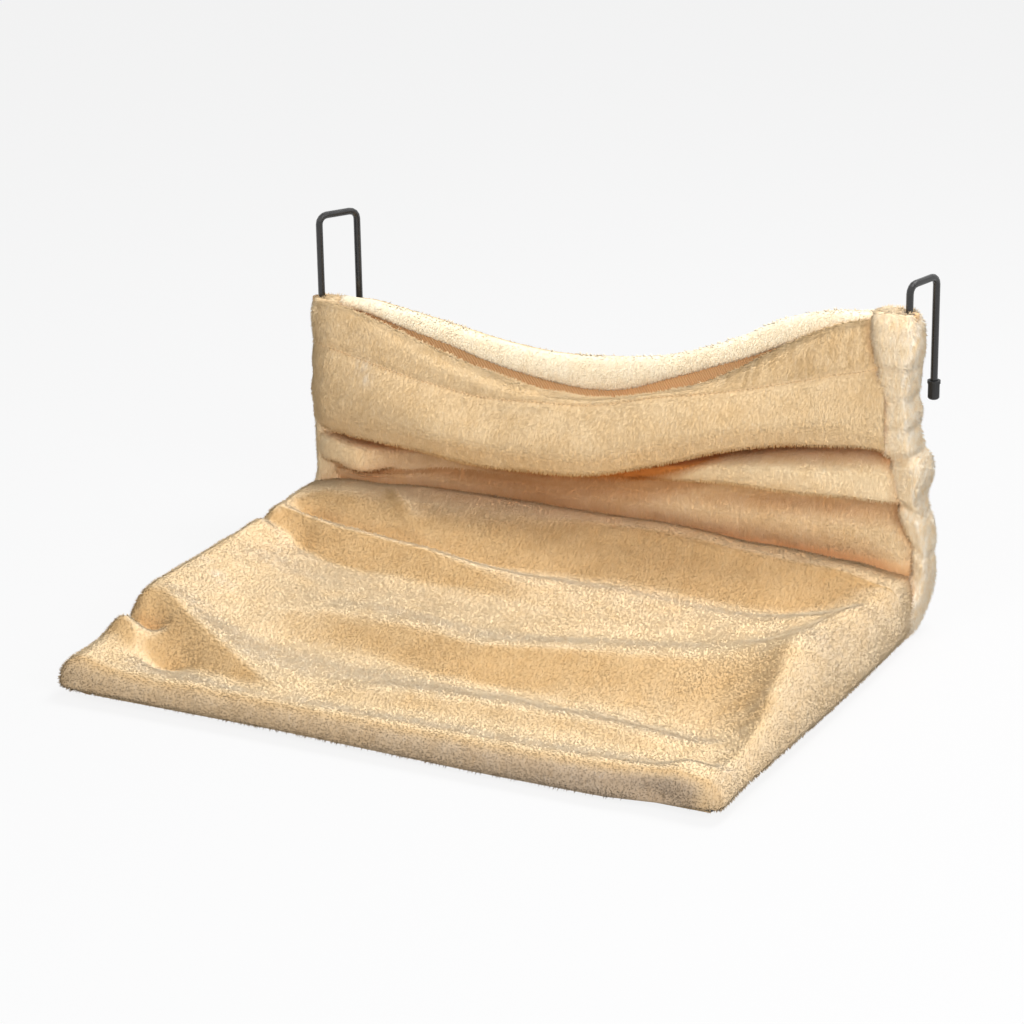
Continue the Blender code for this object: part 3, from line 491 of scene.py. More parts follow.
# the seat: named folds from the front to under the back, each with its places and heights across
seat = {
    "thick": 2.4,
    "step": 2.7,
    "cols": (-217, -200, -170, -130, -85, -40, 10, 60, 105, 150, 185, 203, 217),
    "rows": (
        ("front crest", (-171,) * 13, (29, 25, 22, 22, 22, 22, 22, 22, 22, 23, 25, 25, 24)),
        ("dip", (-137, -139, -142, -147, -150, -150, -148, -147, -145, -145, -145, -145, -142),
         (31, 25, 19.5, 18, 18, 18, 18, 18, 17.5, 17, 16, 17, 22)),
        ("ridge 4", (-117, -116, -118, -125, -130, -128, -122, -120, -120, -121, -121, -118, -112),
         (32, 30, 26, 21.5, 21, 21, 21, 21, 20.5, 19.5, 17, 18, 26)),
        ("valley 3", (-94, -90, -80, -74, -74, -76, -78, -76, -76, -78, -76, -72, -64),
         (46, 40, 28, 19, 15, 13, 12, 11.5, 11.5, 12, 14, 23, 38)),
        ("ridge 3", (-40, -42, -40, -38, -38, -45, -52, -38, -28, -20, -15, -15, -15),
         (47, 40, 29, 26, 26, 26, 26, 26.5, 27, 29, 35, 41, 46)),
        ("plateau", (0, 2, 2, 0, -5, -10, -14, -5, 4, 14, 20, 20, 20),
         (46, 38, 28, 25, 24.5, 24.5, 24, 24.5, 25.5, 28, 33, 39, 45)),
        ("dip 2", (70, 64, 52, 45, 39, 32, 22, 24, 30, 38, 48, 52, 55),
         (45, 31, 26, 25, 25, 25.5, 26, 26, 26, 27, 29, 34, 41)),
        ("ridge 2", (82, 80, 72, 66, 61, 57, 60, 63, 62, 60, 70, 74, 76),
         (46, 43, 42, 41, 39, 34, 30, 27.5, 27, 28, 29.5, 33, 38)),
        ("valley 1", (93, 91, 84, 78, 74, 74, 83, 87, 85, 81, 89, 92, 92),
         (45, 32, 29, 28.5, 28.5, 28, 26.5, 26, 26, 26.5, 29, 34, 38)),
        ("ridge 1 front", (103, 102, 96, 92, 89, 92, 103, 108, 106, 102, 108, 109, 109),
         (46, 43, 42, 41.5, 41, 40, 38.5, 38.5, 38, 38, 38, 39, 40)),
        ("ridge 1", (130, 126, 122, 125, 127, 126, 127, 127, 122, 122, 119, 118, 118),
         (46, 49, 51.5, 52, 52, 52, 52, 52, 51, 49, 47, 44, 41)),
        ("ridge 1 back", (147, 146, 143, 146, 148, 147, 146, 146, 141, 141, 138, 136, 135),
         (42, 45, 47, 48, 48, 48, 48, 48, 47, 46, 45, 43, 40)),
        ("hidden rear", (155,) * 13, (38, 38, 36, 34, 34, 34, 34, 34, 34, 36, 38, 38, 38)),
    ),
    "rowPlaces": (-171, -143, -120, -69, -35, 3, 40, 67, 84, 97, 124, 143, 154),
    "leftCrest": (219, 218, 217, 217, 217, 217, 217, 217, 217, 217, 217, 217, 217),
    "leftOut": (237, 234, 231, 231, 231, 231, 231, 231, 231, 231, 230, 229, 228),
    "rightCrest": (214, 217, 219, 213, 207, 206, 210, 215, 218, 220, 223, 225, 226),
    "rightOut": (228.5, 228.5, 230, 232.5, 235, 236, 237, 237, 237, 237, 236, 235, 234),
    "rightLift": (5, 5, 4.5, 2.5, 0, 0, 0, 0, 0, 0, 0, 0, 0),
    "frontOut": ((-217, 13.6), (-100, 13), (0, 14), (80, 15), (140, 15), (185, 13.6), (217, 13.6)),
    "cornerPower": 3.2,
    "widest": 11.0,
    "cornerLift": ((-217, 5), (-150, 4), (-60, 2.5), (20, 0.8), (60, 0), (150, 0), (190, 3), (217, 5)),
    "sideTurns": 22,
    "frontTurns": 18,
    "folds": (
        {"line": ((-214, -84), (-200, -96), (-172, -112), (-148, -126), (-124, -138), (-98, -148), (-60, -160)),
         "height": (2, 7, 11, 11, 9, 5, 0), "left": 18, "right": 11},
        {"line": ((-224, -122), (-210, -130), (-197, -148)), "height": (8, 7, 1), "left": 9, "right": 9},
        {"line": ((-160, 134), (-146, 118), (-127, 98), (-100, 80)), "height": (0, 3.5, 4, 0),
         "left": 9, "right": 3.5},
        {"line": ((-190, 60), (-150, 46), (-110, 36)), "height": (-3, -2, 0), "left": 7, "right": 7},
        {"line": ((40, 92), (58, 40), (88, 8)), "height": (0, 2.2, 0), "left": 5, "right": 5},
        {"line": ((216, 72), (183, 60), (153, 40), (138, 6)), "height": (3, 4, 3, 0), "left": 15, "right": 14},
        {"line": ((-140, -37), (-60, -42), (5, -52), (60, -38), (105, -29), (161, -16)),
         "height": (0, 2, 2.5, 2.5, 2.5, 0.5), "left": 15, "right": 13},
        {"line": ((-75, -150), (-20, -128), (60, -124), (130, -122), (180, -124)),
         "height": (0, 1.5, 1.5, 1.5, 0), "left": 11, "right": 11},
    ),
    "dimples": (
        {"at": (-209, -110), "size": (13, 9), "height": -11},
        {"at": (-182, -140), "size": (20, 12), "height": -9},
        {"at": (-222, 64), "size": (14, 6), "height": -7},
        {"at": (199, -160), "size": (13, 10), "height": 6},
        {"at": (208, -16), "size": (14, 30), "height": 4},
    ),
    "recess": {"at": 186, "width": 17, "depth": 6.5},
    # pale spots on the seat's left
    "paleSpotAndHighlight": (((-198, -40), 5), ((-190, -44), 5), ((-213, -30), 4)),
    "ripple": 0.45,
    "ripples": (3, 14, 22, 75),
    "pileTo": {"turn": 0.72, "place": 150},
    # ranges of the painted shade on the roll faces and on front-facing slopes
    "rollFaceShadeDown": (0.06, 0.32),
    "frontShadeSlope": (0.02, 0.46),
}


def paleSpots(x, y, spots):
    total = 0 * x
    for (cx, cy), size in spots:
        total = np.maximum(total, np.exp(-((x - cx) ** 2 + (y - cy) ** 2) / size ** 2))
    return 0.7 * total


def netOf(look, column):
    return np.array([row[column] for row in look["rows"]], float)


def seatSurface():
    cols, rowPlaces = np.array(seat["cols"], float), np.array(seat["rowPlaces"], float)
    colAt, rowAt = evenSteps(cols, seat["step"]), evenSteps(rowPlaces, seat["step"])
    sideTurn = np.linspace(0, 1, seat["sideTurns"] + 1)[1:]
    frontTurn = np.linspace(0, 1, seat["frontTurns"] + 1)[1:]
    u = np.concatenate([np.full(len(sideTurn), cols[0]), colAt, np.full(len(sideTurn), cols[-1])])
    v = np.concatenate([np.full(len(frontTurn), rowPlaces[0]), rowAt])
    turnU = np.concatenate([-sideTurn[::-1], np.zeros(len(colAt)), sideTurn])
    turnV = np.concatenate([frontTurn[::-1], np.zeros(len(rowAt))])
    y, z = (overNet(rowPlaces, cols, netOf(seat, column), v, u) for column in (1, 2))
    leftCrest, rightCrest, leftOut, rightOut, rightLift = (
        alongCurve(rowPlaces, seat[key], v)[:, None]
        for key in ("leftCrest", "rightCrest", "leftOut", "rightOut", "rightLift"))
    x = u / cols[-1] * np.where(u < 0, leftCrest, rightCrest)
    for fold in seat["folds"]:
        z = z + lineFold(x, y, fold)
    for spot in seat["dimples"]:
        z = z + dimple(x, y, spot)
    z = z + seat["ripple"] * wavy(waves(*seat["ripples"]), x, y)
    paleSpotAndHighlight = paleSpots(x, y, seat["paleSpotAndHighlight"])
    gridU, gridV = np.meshgrid(turnU, turnV)
    turn = np.maximum(np.abs(gridU), gridV)
    power = seat["cornerPower"]
    reach = np.maximum((np.abs(gridU) ** power + gridV ** power) ** (1 / power), 1e-9)
    sideShare, frontShare = gridU / reach, gridV / reach
    angle = math.pi * turn
    sideRoll = np.where(gridU < 0, leftOut - leftCrest, rightOut - rightCrest)
    frontX, frontOut = np.array(seat["frontOut"], float).T
    recess = seat["recess"]
    pulled = recess["depth"] * np.exp(-((x - recess["at"]) / recess["width"]) ** 2 - ((turn - 0.5) / 0.2) ** 2)
    liftX, liftZ = np.array(seat["cornerLift"], float).T
    lift = np.maximum(np.interp(x, liftX, liftZ) * frontShare, rightLift * np.maximum(sideShare, 0))
    y = y - frontShare * (np.interp(x, frontX, frontOut) - pulled * (frontShare > 0.6)) * np.sin(angle)
    x = x + sideShare * sideRoll * np.sin(angle)
    low = seat["widest"]
    z = np.where(angle < math.pi / 2, low + (z - low) * np.cos(angle), low + (low - lift) * np.cos(angle))
    bend = rail["bendZ"]
    z = np.maximum(z, bend - np.sqrt(bend ** 2 - np.clip(y - rail["bendY"], 0, bend) ** 2))
    cover = np.where((turn > seat["pileTo"]["turn"]) | (v[:, None] > seat["pileTo"]["place"]), 0.0, 1.0)
    # painted shade on the front roll's lower face, heavier towards the right, and on the right side roll's outer
    # face
    face = ease(frontShare * turn, *seat["rollFaceShadeDown"]) * (0.6 + 0.4 * ease(x, -140, 190)) * ease(x, 226, 206)
    face = np.maximum(face, 0.4 * ease(sideShare * turn, 0.0, 0.2))
    return np.stack([x, y, z], axis=-1), {"pileCover": cover, "paleSpotAndHighlight": paleSpotAndHighlight, "rollFaceShade": face}


seatGrid, seatMarks = seatSurface()
seatTop = clothMesh("seatTop", seatGrid, seat["thick"], [plush], marks=seatMarks)
seatSlope = clothShapes["seatTop"]["normal"][..., 1]  # painted shade: the pile is darkened where the slope faces the front
seatMarks["frontFacingShade"] = ease(-seatSlope, *seat["frontShadeSlope"]) * (1 - seatMarks["rollFaceShade"])
# painted highlight, paler on the rear-facing slopes of the crests
rearSlopeHighlight = 0.3 * ease(seatSlope, 0.02, 0.22) * ease(seatGrid[..., 1], 110, 95)
seatMarks["paleSpotAndHighlight"] = np.maximum(seatMarks["paleSpotAndHighlight"], rearSlopeHighlight)
clothShapes["seatTop"]["marks"].update(seatMarks)
print("seat made", len(seatTop.data.polygons))

# the back's front layer: two slack rolls under a hem, wrapped round the left upright
back = {
    "thick": 2.4,
    "step": 2.6,
    "cols": (-204, -185, -160, -125, -85, -40, 5, 50, 95, 135, 170, 190, 204),
    "rows": (
        ("crease", (34,) * 13, (150, 152, 154, 155, 155, 155, 155, 155, 154, 153, 150, 145, 145), 238),
        ("lower back", (52, 51, 52, 53, 53, 54, 56, 60, 64, 66, 67, 67, 67),
         (147, 149, 152, 152, 152, 152, 151, 149, 146, 144, 143, 144, 148), 234),
        ("under roll 2", (55, 52, 54, 60, 61, 62, 67, 75, 82, 85, 86, 86, 85),
         (148, 150, 153, 153, 153, 153, 153, 153, 153, 153, 153, 153, 154), 232),
        ("roll 2 back", (64, 60, 58, 64, 66, 67, 73, 86, 96, 98, 98, 97, 96),
         (146, 147, 152, 152, 152, 152, 151, 147, 144, 144, 146, 148, 151), 228),
        ("roll 2 lip", (61, 57, 61, 67, 69, 71, 77, 86, 94, 94.5, 95, 93, 91),
         (140, 138, 152, 152, 152, 152, 150, 138, 127, 126, 130, 136, 144), 226),
        ("roll 2", (75, 73, 70, 73, 73, 75, 81, 95, 106, 110, 111, 111, 110),
         (138, 136, 151, 152, 152, 152, 149, 134, 123, 122, 127, 133, 141), 222),
        ("under roll 1", (82, 80, 79, 79, 77, 79, 85, 99, 114, 121, 124, 124, 122),
         (149, 152, 154, 154, 154, 154, 153, 151, 150, 150, 150, 151, 152), 216),
        ("roll 1 back", (90, 91, 93, 94, 93, 94, 97, 109, 122, 130, 134, 134, 132),
         (146, 144, 142, 139, 136, 135, 136, 139, 142, 145, 147, 148, 149), 212),
        ("roll 1 lip", (86, 86, 86.5, 87, 84.5, 86, 89.5, 101, 116, 124.5, 128, 129, 127),
         (137, 132, 127, 121, 117, 115, 116, 120, 125, 130, 134, 137, 140), 211),
        ("roll 1 front", (95, 96, 96, 97, 95, 96, 99, 111, 126, 134, 138, 138, 136),
         (132, 127, 121, 114, 110, 108, 109, 113, 118, 124, 129, 132, 136), 211),
        ("roll 1", (122, 120, 117, 114, 111, 112, 116, 128, 140, 150, 157, 160, 161),
         (132, 128, 122, 116, 112, 110, 111, 115, 120, 126, 131, 134, 137), 210),
        ("stitching", (146.5, 142.5, 138, 132.6, 128.5, 131.3, 135.2, 146.3, 155, 165, 175, 179.6, 183.4),
         (138, 137, 135, 133, 130, 127, 126, 128, 131, 135, 138, 140, 142), 208),
        ("hem roll", (172, 168, 158, 147, 139, 135.2, 137, 147.5, 160.5, 181, 198, 204.5, 207),
         (144, 144, 143, 140, 137, 135, 134, 134, 138, 144, 146, 147.5, 149), 205),
        ("top edge", (177, 172.6, 163.9, 152.3, 142.2, 134.9, 134.6, 145.9, 163.2, 187.2, 205, 211.4, 213.5),
         (146, 147, 148, 148, 147, 146, 144, 141, 145, 150, 151, 151, 151), 204),
    ),
    "rowPlaces": (0, 18, 36, 46, 56, 70, 94, 108, 118, 128, 150, 170, 190, 200),
    "stitchRow": 170,
    "wrapTurns": 26,
    "wrapOut": (13, 16, 18, 20, 21, 21.5, 19.5, 21, 22.5, 23, 23, 21.5, 22.5, 19),
    "wrapBack": 11.0,
    "wrapRipple": (0.8, 3.1),
    "stitchDip": (1.3, 2.2),
    "ripple": 0.7,
    "ripples": (8, 14, 26, 90),
    "calmEdge": 30,
    # the roll lips, under which painted shadow is laid
    "lips": (
        {"row": 118, "under": 108, "depth": 8, "share": 0.92},
        {"row": 56, "under": 46, "depth": 9, "share": 0.55},
    ),
    # pale spots near the left end of the hem
    "paleSpotAndHighlight": (((-178, 138), 5), ((-172, 130), 4)),
}


def backSurface():
    cols, rowPlaces = np.array(back["cols"], float), np.array(back["rowPlaces"], float)
    colAt, rowAt = evenSteps(cols, back["step"]), evenSteps(rowPlaces, back["step"] * 0.6)
    turn = np.linspace(1, 0, back["wrapTurns"] + 1)[:-1]
    angle = np.concatenate([turn * math.pi, np.zeros(len(colAt))])[None, :]
    colAt = np.concatenate([np.full(len(turn), cols[0]), colAt])
    z, y = (overNet(rowPlaces, cols, netOf(back, column), rowAt, colAt) for column in (1, 2))
    right, out = (alongCurve(rowPlaces, values, rowAt)[:, None] for values in (netOf(back, 3), back["wrapOut"]))
    x = np.where(colAt < 0, colAt + 0 * right, colAt * right / cols[-1])
    down = rowAt[:, None] + 0 * x
    depth, width = back["stitchDip"]
    y = y + depth * np.exp(-((down - back["stitchRow"]) / width) ** 2)
    height, length = back["wrapRipple"]
    out = out + height * np.sin(rowAt / length)[:, None]
    evenZ = alongCurve((0, 100, rowPlaces[-1]), (z[0, 0], z[len(z) // 2, 0], z[-1, 0]), rowAt)[:, None]
    calmer = np.clip(angle / math.pi, 0, 1) ** 1.5
    z = z + (evenZ - z) * calmer
    x = x - out * np.sin(angle) + 2.0 * calmer
    front, rearReach = rail["uprightY"] - y, back["wrapBack"]
    first = len(turn)
    slope = (y[:, first] - y[:, first + 1]) / (colAt[first + 1] - colAt[first])
    y = np.where(angle < math.pi / 2,
                 rail["uprightY"] - front * np.cos(angle) + slope[:, None] * out * np.sin(angle) * np.cos(angle),
                 rail["uprightY"] - rearReach * np.cos(angle))
    calm = np.clip((cols[-1] - np.abs(colAt)) / back["calmEdge"], 0, 1)[None, :]
    y = y - back["ripple"] * wavy(waves(*back["ripples"]), x, down) * calm
    edge = np.exp(-((down - rowPlaces[-1]) / 3.5) ** 2)
    seam = np.exp(-((down - back["stitchRow"]) / 1.1) ** 2)
    # painted shadow under the roll lips
    underLipShadow = 0 * down
    farIn = ease(x, -190, -40) - ease(x, 20, 110)
    for lip in back["lips"]:
        gap = z - z[int(np.argmin(np.abs(rowAt - lip["row"])))][None, :]
        fade = ease(gap, -lip["depth"] - 23 * farIn, -2 - 8 * farIn)
        underLipShadow = np.maximum(underLipShadow, lip["share"] * fade * (down < lip["under"]))
    marks = {"pileCover": np.where(down < 8, 0.0, 1.0) * (1 - 0.9 * seam) + 4 * edge, "pileLong": 0.3 * edge,
             "underLipShadow": underLipShadow, "paleSpotAndHighlight": paleSpots(x, z, back["paleSpotAndHighlight"]),
             # painted shadow on the hem strip above the stitching at the right
             "hemShadow": ease(x, 60, 120) * ease(down, 171, 174),
             # painted shade over the front face, heavier from roll 1 up and left out on roll 2
             "frontFacingShade": 0.25 + 0.2 * ease(down, 94, 112) - 0.25 * ease(down, 44, 52) * ease(down, 100, 90)}
    return np.stack([x, y, z], axis=-1), marks, rowAt


backGrid, backMarks, backRows = backSurface()
backFront = clothMesh("backFront", backGrid, back["thick"], [plush, knit], marks=backMarks)
print("back made", len(backFront.data.polygons))

# the bunched sleeves on the uprights; both share one form, and each has its own widths and pinches
sleeveForm = {"thick": 2.4, "around": 72, "step": 1.6, "soft": 0.55, "innerBehind": 199.0, "middle": 217,
              "ripple": 0.5, "ripples": (21, 12, 9, 30), "holeRadius": 4.2, "capRise": 1.5, "capDrop": 3,
              "leastOpen": 0.5}
sleeves = {
    "left": {
        "side": -1,
        "along": (-75, -60, -40, -20, 0, 10, 20, 32, 44, 52, 62, 74, 86, 96, 104, 112, 122, 130, 136),
        "inner": (212, 210, 206, 204, 205, 206, 206, 206, 206, 206, 206, 206, 206, 206, 206, 206, 206, 206, 208),
        "outer": (226, 228, 229, 228, 226, 225, 225, 225, 225, 225, 225, 225, 225, 225, 225, 225, 225, 225, 224),
        "front": (8, 9, 11, 12, 12, 10, 9, 9, 9, 9, 9, 9, 9, 9, 8.5, 8.5, 8.5, 8.5, 7.5),
        "back": (10.5, 11, 11, 10.5, 9.5, 8.5, 8, 8, 8, 8, 8, 8, 8, 8, 8, 8, 8, 8, 7),
        "pinches": (),
    },
    "right": {
        "side": 1,
        "along": (-75, -60, -40, -20, 0, 12, 24, 34, 42, 50, 58, 66, 74, 80, 90, 100, 110, 120, 127, 134, 142, 152,
                  164, 172, 176.5),
        "inner": (214, 214, 216, 222, 229, 229, 227, 223, 220, 218, 216, 214, 212, 210, 206, 205, 205, 205, 205, 203,
                  201, 199, 197, 196, 197),
        "outer": (228, 231, 236, 239, 240.5, 240, 239.5, 238.5, 237, 233, 234.5, 237, 237, 235, 229, 227, 228, 225.5,
                  226.5, 226.5, 227.5, 229, 228.5, 227, 224.5),
        "front": (8, 9, 11, 12, 13, 13, 14, 15, 16, 16, 17, 18, 18, 17, 18, 18, 18, 17, 17, 17, 17, 16, 14, 11, 8),
        "back": (10.5, 11, 11.3, 11.3, 11.3, 11.3, 11.3, 11.3, 11.3, 11.3, 11.3, 11.3, 11.3, 11.3, 11.3, 11.3, 11.3,
                 11.3, 11.3, 11.3, 11.3, 11.3, 11.3, 11, 9),
        "pinches": (
            {"at": 142, "tilt": 0.0, "depth": 1.6, "width": 2.6},
            {"at": 121, "tilt": 0.15, "depth": 1.3, "width": 2.2},
            {"at": 101, "tilt": -0.1, "depth": 1.8, "width": 2.4},
            {"at": 80, "tilt": 0.25, "depth": 4.2, "width": 3.0},
            {"at": 51, "tilt": -0.5, "depth": 4.0, "width": 3.4},
            {"at": 28, "tilt": -0.7, "depth": 1.8, "width": 4.0},
        ),
    },
}


def railPoint(t):
    arc = rail["bend"] * math.pi / 2
    turn = np.clip(-t, 0, arc) / rail["bend"]
    y = rail["bendY"] + rail["bend"] * np.cos(turn) + np.minimum(t + arc, 0)
    z = rail["bendZ"] - rail["bend"] * np.sin(turn) + np.maximum(t, 0)
    return y, z, -np.cos(turn), np.sin(turn)


def squared(value, power):
    return np.sign(value) * np.abs(value) ** power


def sleeveSurface(shape):
    form = sleeveForm
    places = np.array(shape["along"], float)
    t = evenSteps(places, form["step"])
    inner, outer, front, rear = (alongCurve(places, shape[key], t)[:, None]
                                 for key in ("inner", "outer", "front", "back"))
    turn = np.linspace(0, 2 * math.pi, form["around"], endpoint=False)[None, :]
    wide, deep = squared(np.cos(turn), form["soft"]), squared(np.sin(turn), form["soft"])
    inner = inner + (np.minimum(inner, form["innerBehind"]) - inner) * ease(-np.sin(turn), -0.1, 0.6)
    middle = (inner + outer) / 2
    across = middle + wide * (outer - inner) / 2
    out = np.where(deep > 0, deep * front, deep * rear)
    push = 0 * across
    facing = np.clip(0.75 + 0.6 * np.sin(turn), 0, 1)
    for pinch in shape["pinches"]:
        gap = (t[:, None] - pinch["at"] - pinch["tilt"] * (across - form["middle"])) / pinch["width"]
        push = push - pinch["depth"] * np.exp(-gap ** 2) * facing
    push = push + form["ripple"] * facing * wavy(waves(*form["ripples"]), across, t[:, None] + 14 * np.sin(turn))
    reach = np.maximum(np.hypot(across - middle, out), 1e-6)
    across = across + push * (across - middle) / reach
    out = out + push * out / reach
    y0, z0, wayY, wayZ = (part[:, None] for part in railPoint(t))
    grid = np.stack([shape["side"] * across, y0 + out * wayY, z0 + out * wayZ], axis=-1)
    hole = np.stack([shape["side"] * (rail["x"] + form["holeRadius"] * np.cos(turn[0])),
                     rail["uprightY"] - form["holeRadius"] * np.sin(turn[0]), 0 * turn[0]], axis=-1)
    cap = []
    rim = grid[-1]
    for share in (0.25, 0.5, 0.75, 1.0):
        ring = rim * (1 - share) + hole * share
        ring[:, 2] = rim[:, 2] + form["capRise"] * math.sin(share * math.pi * 0.9)
        cap.append(ring)
    down = cap[-1].copy()
    down[:, 2] = rim[:, 2] - form["capDrop"]
    grid = np.concatenate([grid, cap, [down]])
    if shape["side"] < 0:
        grid = grid[:, ::-1]
    return grid[::-1]


sleevePieces = {label: clothMesh(label + "Sleeve", sleeveSurface(shape), sleeveForm["thick"], [plush], ring=True)
                for label, shape in sleeves.items()}
for label in sleevePieces:
    side = clothShapes[label + "Sleeve"]
    side["leastOpen"] = sleeveForm["leastOpen"]
    side["marks"]["pileCover"] = ease(side["normal"][..., 2], -0.9, -0.6)
    # painted highlight on the right sleeve, paler where it faces to the right
    side["marks"]["paleSpotAndHighlight"] = (0.25 + 0.5 * ease(side["normal"][..., 0], -0.2, 0.7)) * (label == "right")
print("sleeves made")

# the rear and under sheet, with its turned-in hem
rear = {
    "thick": 2.4,
    "step": 3.4,
    "halfWidth": 216.5,
    "narrowing": 12.5,
    "front": -170.5,
    "rise": 100.0,
    "cols": back["cols"],
    "top": (178.0, 179.0, 175.6, 169.8, 162.3, 158.0, 160.5, 168.0, 184.6, 204.8, 213.6, 215.0, 215.8),
    "underBand": 1.5,
    "ripple": 0.4,
    "ripples": (12, 12, 60, 160),
    "pileFrom": (16, 30),
    "leastOpen": 0.6,
}


def rearSurface():
    cols = np.array(rear["cols"], float)
    share = np.linspace(1, -1, 2 * round(rear["halfWidth"] / rear["step"]) + 1)
    radius, rise = rail["bend"] + rail["z"], rear["rise"]
    arc = radius * math.pi / 2
    flat = rail["bendY"] - rear["front"]
    places = evenSteps([0, flat, flat + arc, flat + arc + rise], rear["step"])
    rows = []
    for place in places:
        turn = min(max(place - flat, 0), arc) / radius
        up = max(place - flat - arc, 0) / rise
        x = share * (rear["halfWidth"] - rear["narrowing"] * min(max((place - flat) / arc, 0), 1))
        y = min(place, flat) + rear["front"] + radius * math.sin(turn) + 0 * x
        top = alongCurve(cols, rear["top"], x) - rear["underBand"]
        z = rail["bendZ"] - radius * math.cos(turn) + (top - rail["bendZ"]) * up
        rows.append(np.stack([x, y, z], axis=-1))
    grid = np.array(rows)
    down = places[:, None] + 0 * grid[..., 0]
    ripple = wavy(waves(*rear["ripples"]), grid[..., 0], down)
    grid[..., 1] -= np.where(down > flat + arc, rear["ripple"] * (1 + ripple), 0)
    low, high = rear["pileFrom"]
    return grid, {"pileCover": ease(down, flat + low, flat + high)}


rearGrid, rearMarks = rearSurface()
rearSheet = clothMesh("rearSheet", rearGrid, rear["thick"], [plush, knit], marks=rearMarks)
clothShapes["rearSheet"]["leastOpen"] = rear["leastOpen"]

band = {
    "low": (175.3, 172.2, 165.8, 157.6, 147.0, 139.2, 138.6, 153.6, 171.2, 188.6, 203.6, 210.0, 212.0),
    "face": 166.6,
    "depth": 9.5,
    "leastHalf": 3.0,
    "step": 2.6,
    "around": 28,
    "soft": (0.75, 0.85),
    "ripple": 0.3,
    "ripples": (5, 10, 18, 60),
}


def bandSurface():
    cols = np.array(rear["cols"], float)
    x = evenSteps(cols, band["step"])
    top, low = (alongCurve(cols, values, x)[:, None] for values in (rear["top"], band["low"]))
    turn = np.linspace(0, 2 * math.pi, band["around"], endpoint=False)[None, :]
    depth = band["depth"] / 2
    z = (top + low) / 2 + squared(np.sin(turn), band["soft"][1]) * np.maximum((top - low) / 2, band["leastHalf"])
    x = x[:, None] + 0 * z
    y = band["face"] - rear["thick"] - depth + squared(np.cos(turn), band["soft"][0]) * depth + 0 * z
    z = z + band["ripple"] * wavy(waves(*band["ripples"]), x, 8 * turn)
    toFront = ease(-np.cos(turn), -0.35, 0.1)
    lower = 0.12 + 0.88 * ease(-np.sin(turn), -0.55, 0.1)
    return np.stack([x, y, z], axis=-1), {"pileCover": toFront * lower + 0 * z}


bandGrid, bandMarks = bandSurface()
hemBand = closedLoft("hemBand", bandGrid, hemFleece, bandMarks)
print("rear sheet and hem band made")

measureOpenness([seatTop, backFront, sleevePieces["left"], sleevePieces["right"], rearSheet, hemBand])
print("fold shading measured")


# pile tufts, scattered over the cloth with Geometry Nodes
def tuftShape(name, path, radii):
    points, faces = [], []
    for (x, z), radius in zip(path[:-1], radii):
        points += [(x + radius * math.cos(a), radius * math.sin(a), z) for a in (0, 2.0944, 4.18879)]
    points.append((path[-1][0], 0, path[-1][1]))
    faces.append((2, 1, 0))
    for ring in range(len(radii) - 1):
        for k in range(3):
            after = (k + 1) % 3
            faces.append((3 * ring + k, 3 * ring + after, 3 * ring + 3 + after, 3 * ring + 3 + k))
    last = 3 * (len(radii) - 1)
    faces += [(last + k, last + (k + 1) % 3, len(points) - 1) for k in range(3)]
    mesh = bpy.data.meshes.new(name)
    mesh.from_pydata(points, [], faces)
    return bpy.data.objects.new(name, mesh)


def socketNamed(sockets, name):
    return next(s for s in sockets if s.name == name and s.enabled)


def joinUp(tree, pairs):
    for source, target in pairs:
        tree.links.new(source, target)


def newTree(name, inputs):
    tree = bpy.data.node_groups.new(name, "GeometryNodeTree")
    named = {}
    for label, kind in (("Geometry", "Geometry"), *inputs):
        named[label] = tree.interface.new_socket(label, in_out="INPUT", socket_type="NodeSocket" + kind).identifier
    tree.interface.new_socket("Geometry", in_out="OUTPUT", socket_type="NodeSocketGeometry")
    return tree, named


def addNode(tree, kind, values=None, **settings):
    node = tree.nodes.new(kind)
    for key, value in settings.items():
        setattr(node, key, value)
    for name, value in (values or {}).items():
        socket = node.inputs[name] if isinstance(name, int) else socketNamed(node.inputs, name)
        socket.default_value = value
    return node


def plantNodes(tree, result, points, kind, turn, size, finishFrom):
    plant = addNode(tree, "GeometryNodeInstanceOnPoints")
    real = addNode(tree, "GeometryNodeRealizeInstances")
    soft = addNode(tree, "GeometryNodeSetShadeSmooth")
    finish = addNode(tree, "GeometryNodeSetMaterial")
    joinUp(tree, (
        (points, plant.inputs["Points"]),
        (kind, plant.inputs["Instance"]),
        (turn, plant.inputs["Rotation"]),
        (size, plant.inputs["Scale"]),
        (plant.outputs["Instances"], real.inputs["Geometry"]),
        (real.outputs["Geometry"], soft.inputs["Geometry"]),
        (soft.outputs["Geometry"], finish.inputs["Geometry"]),
        (finishFrom, finish.inputs["Material"]),
        (finish.outputs["Geometry"], result.inputs["Geometry"]),
    ))


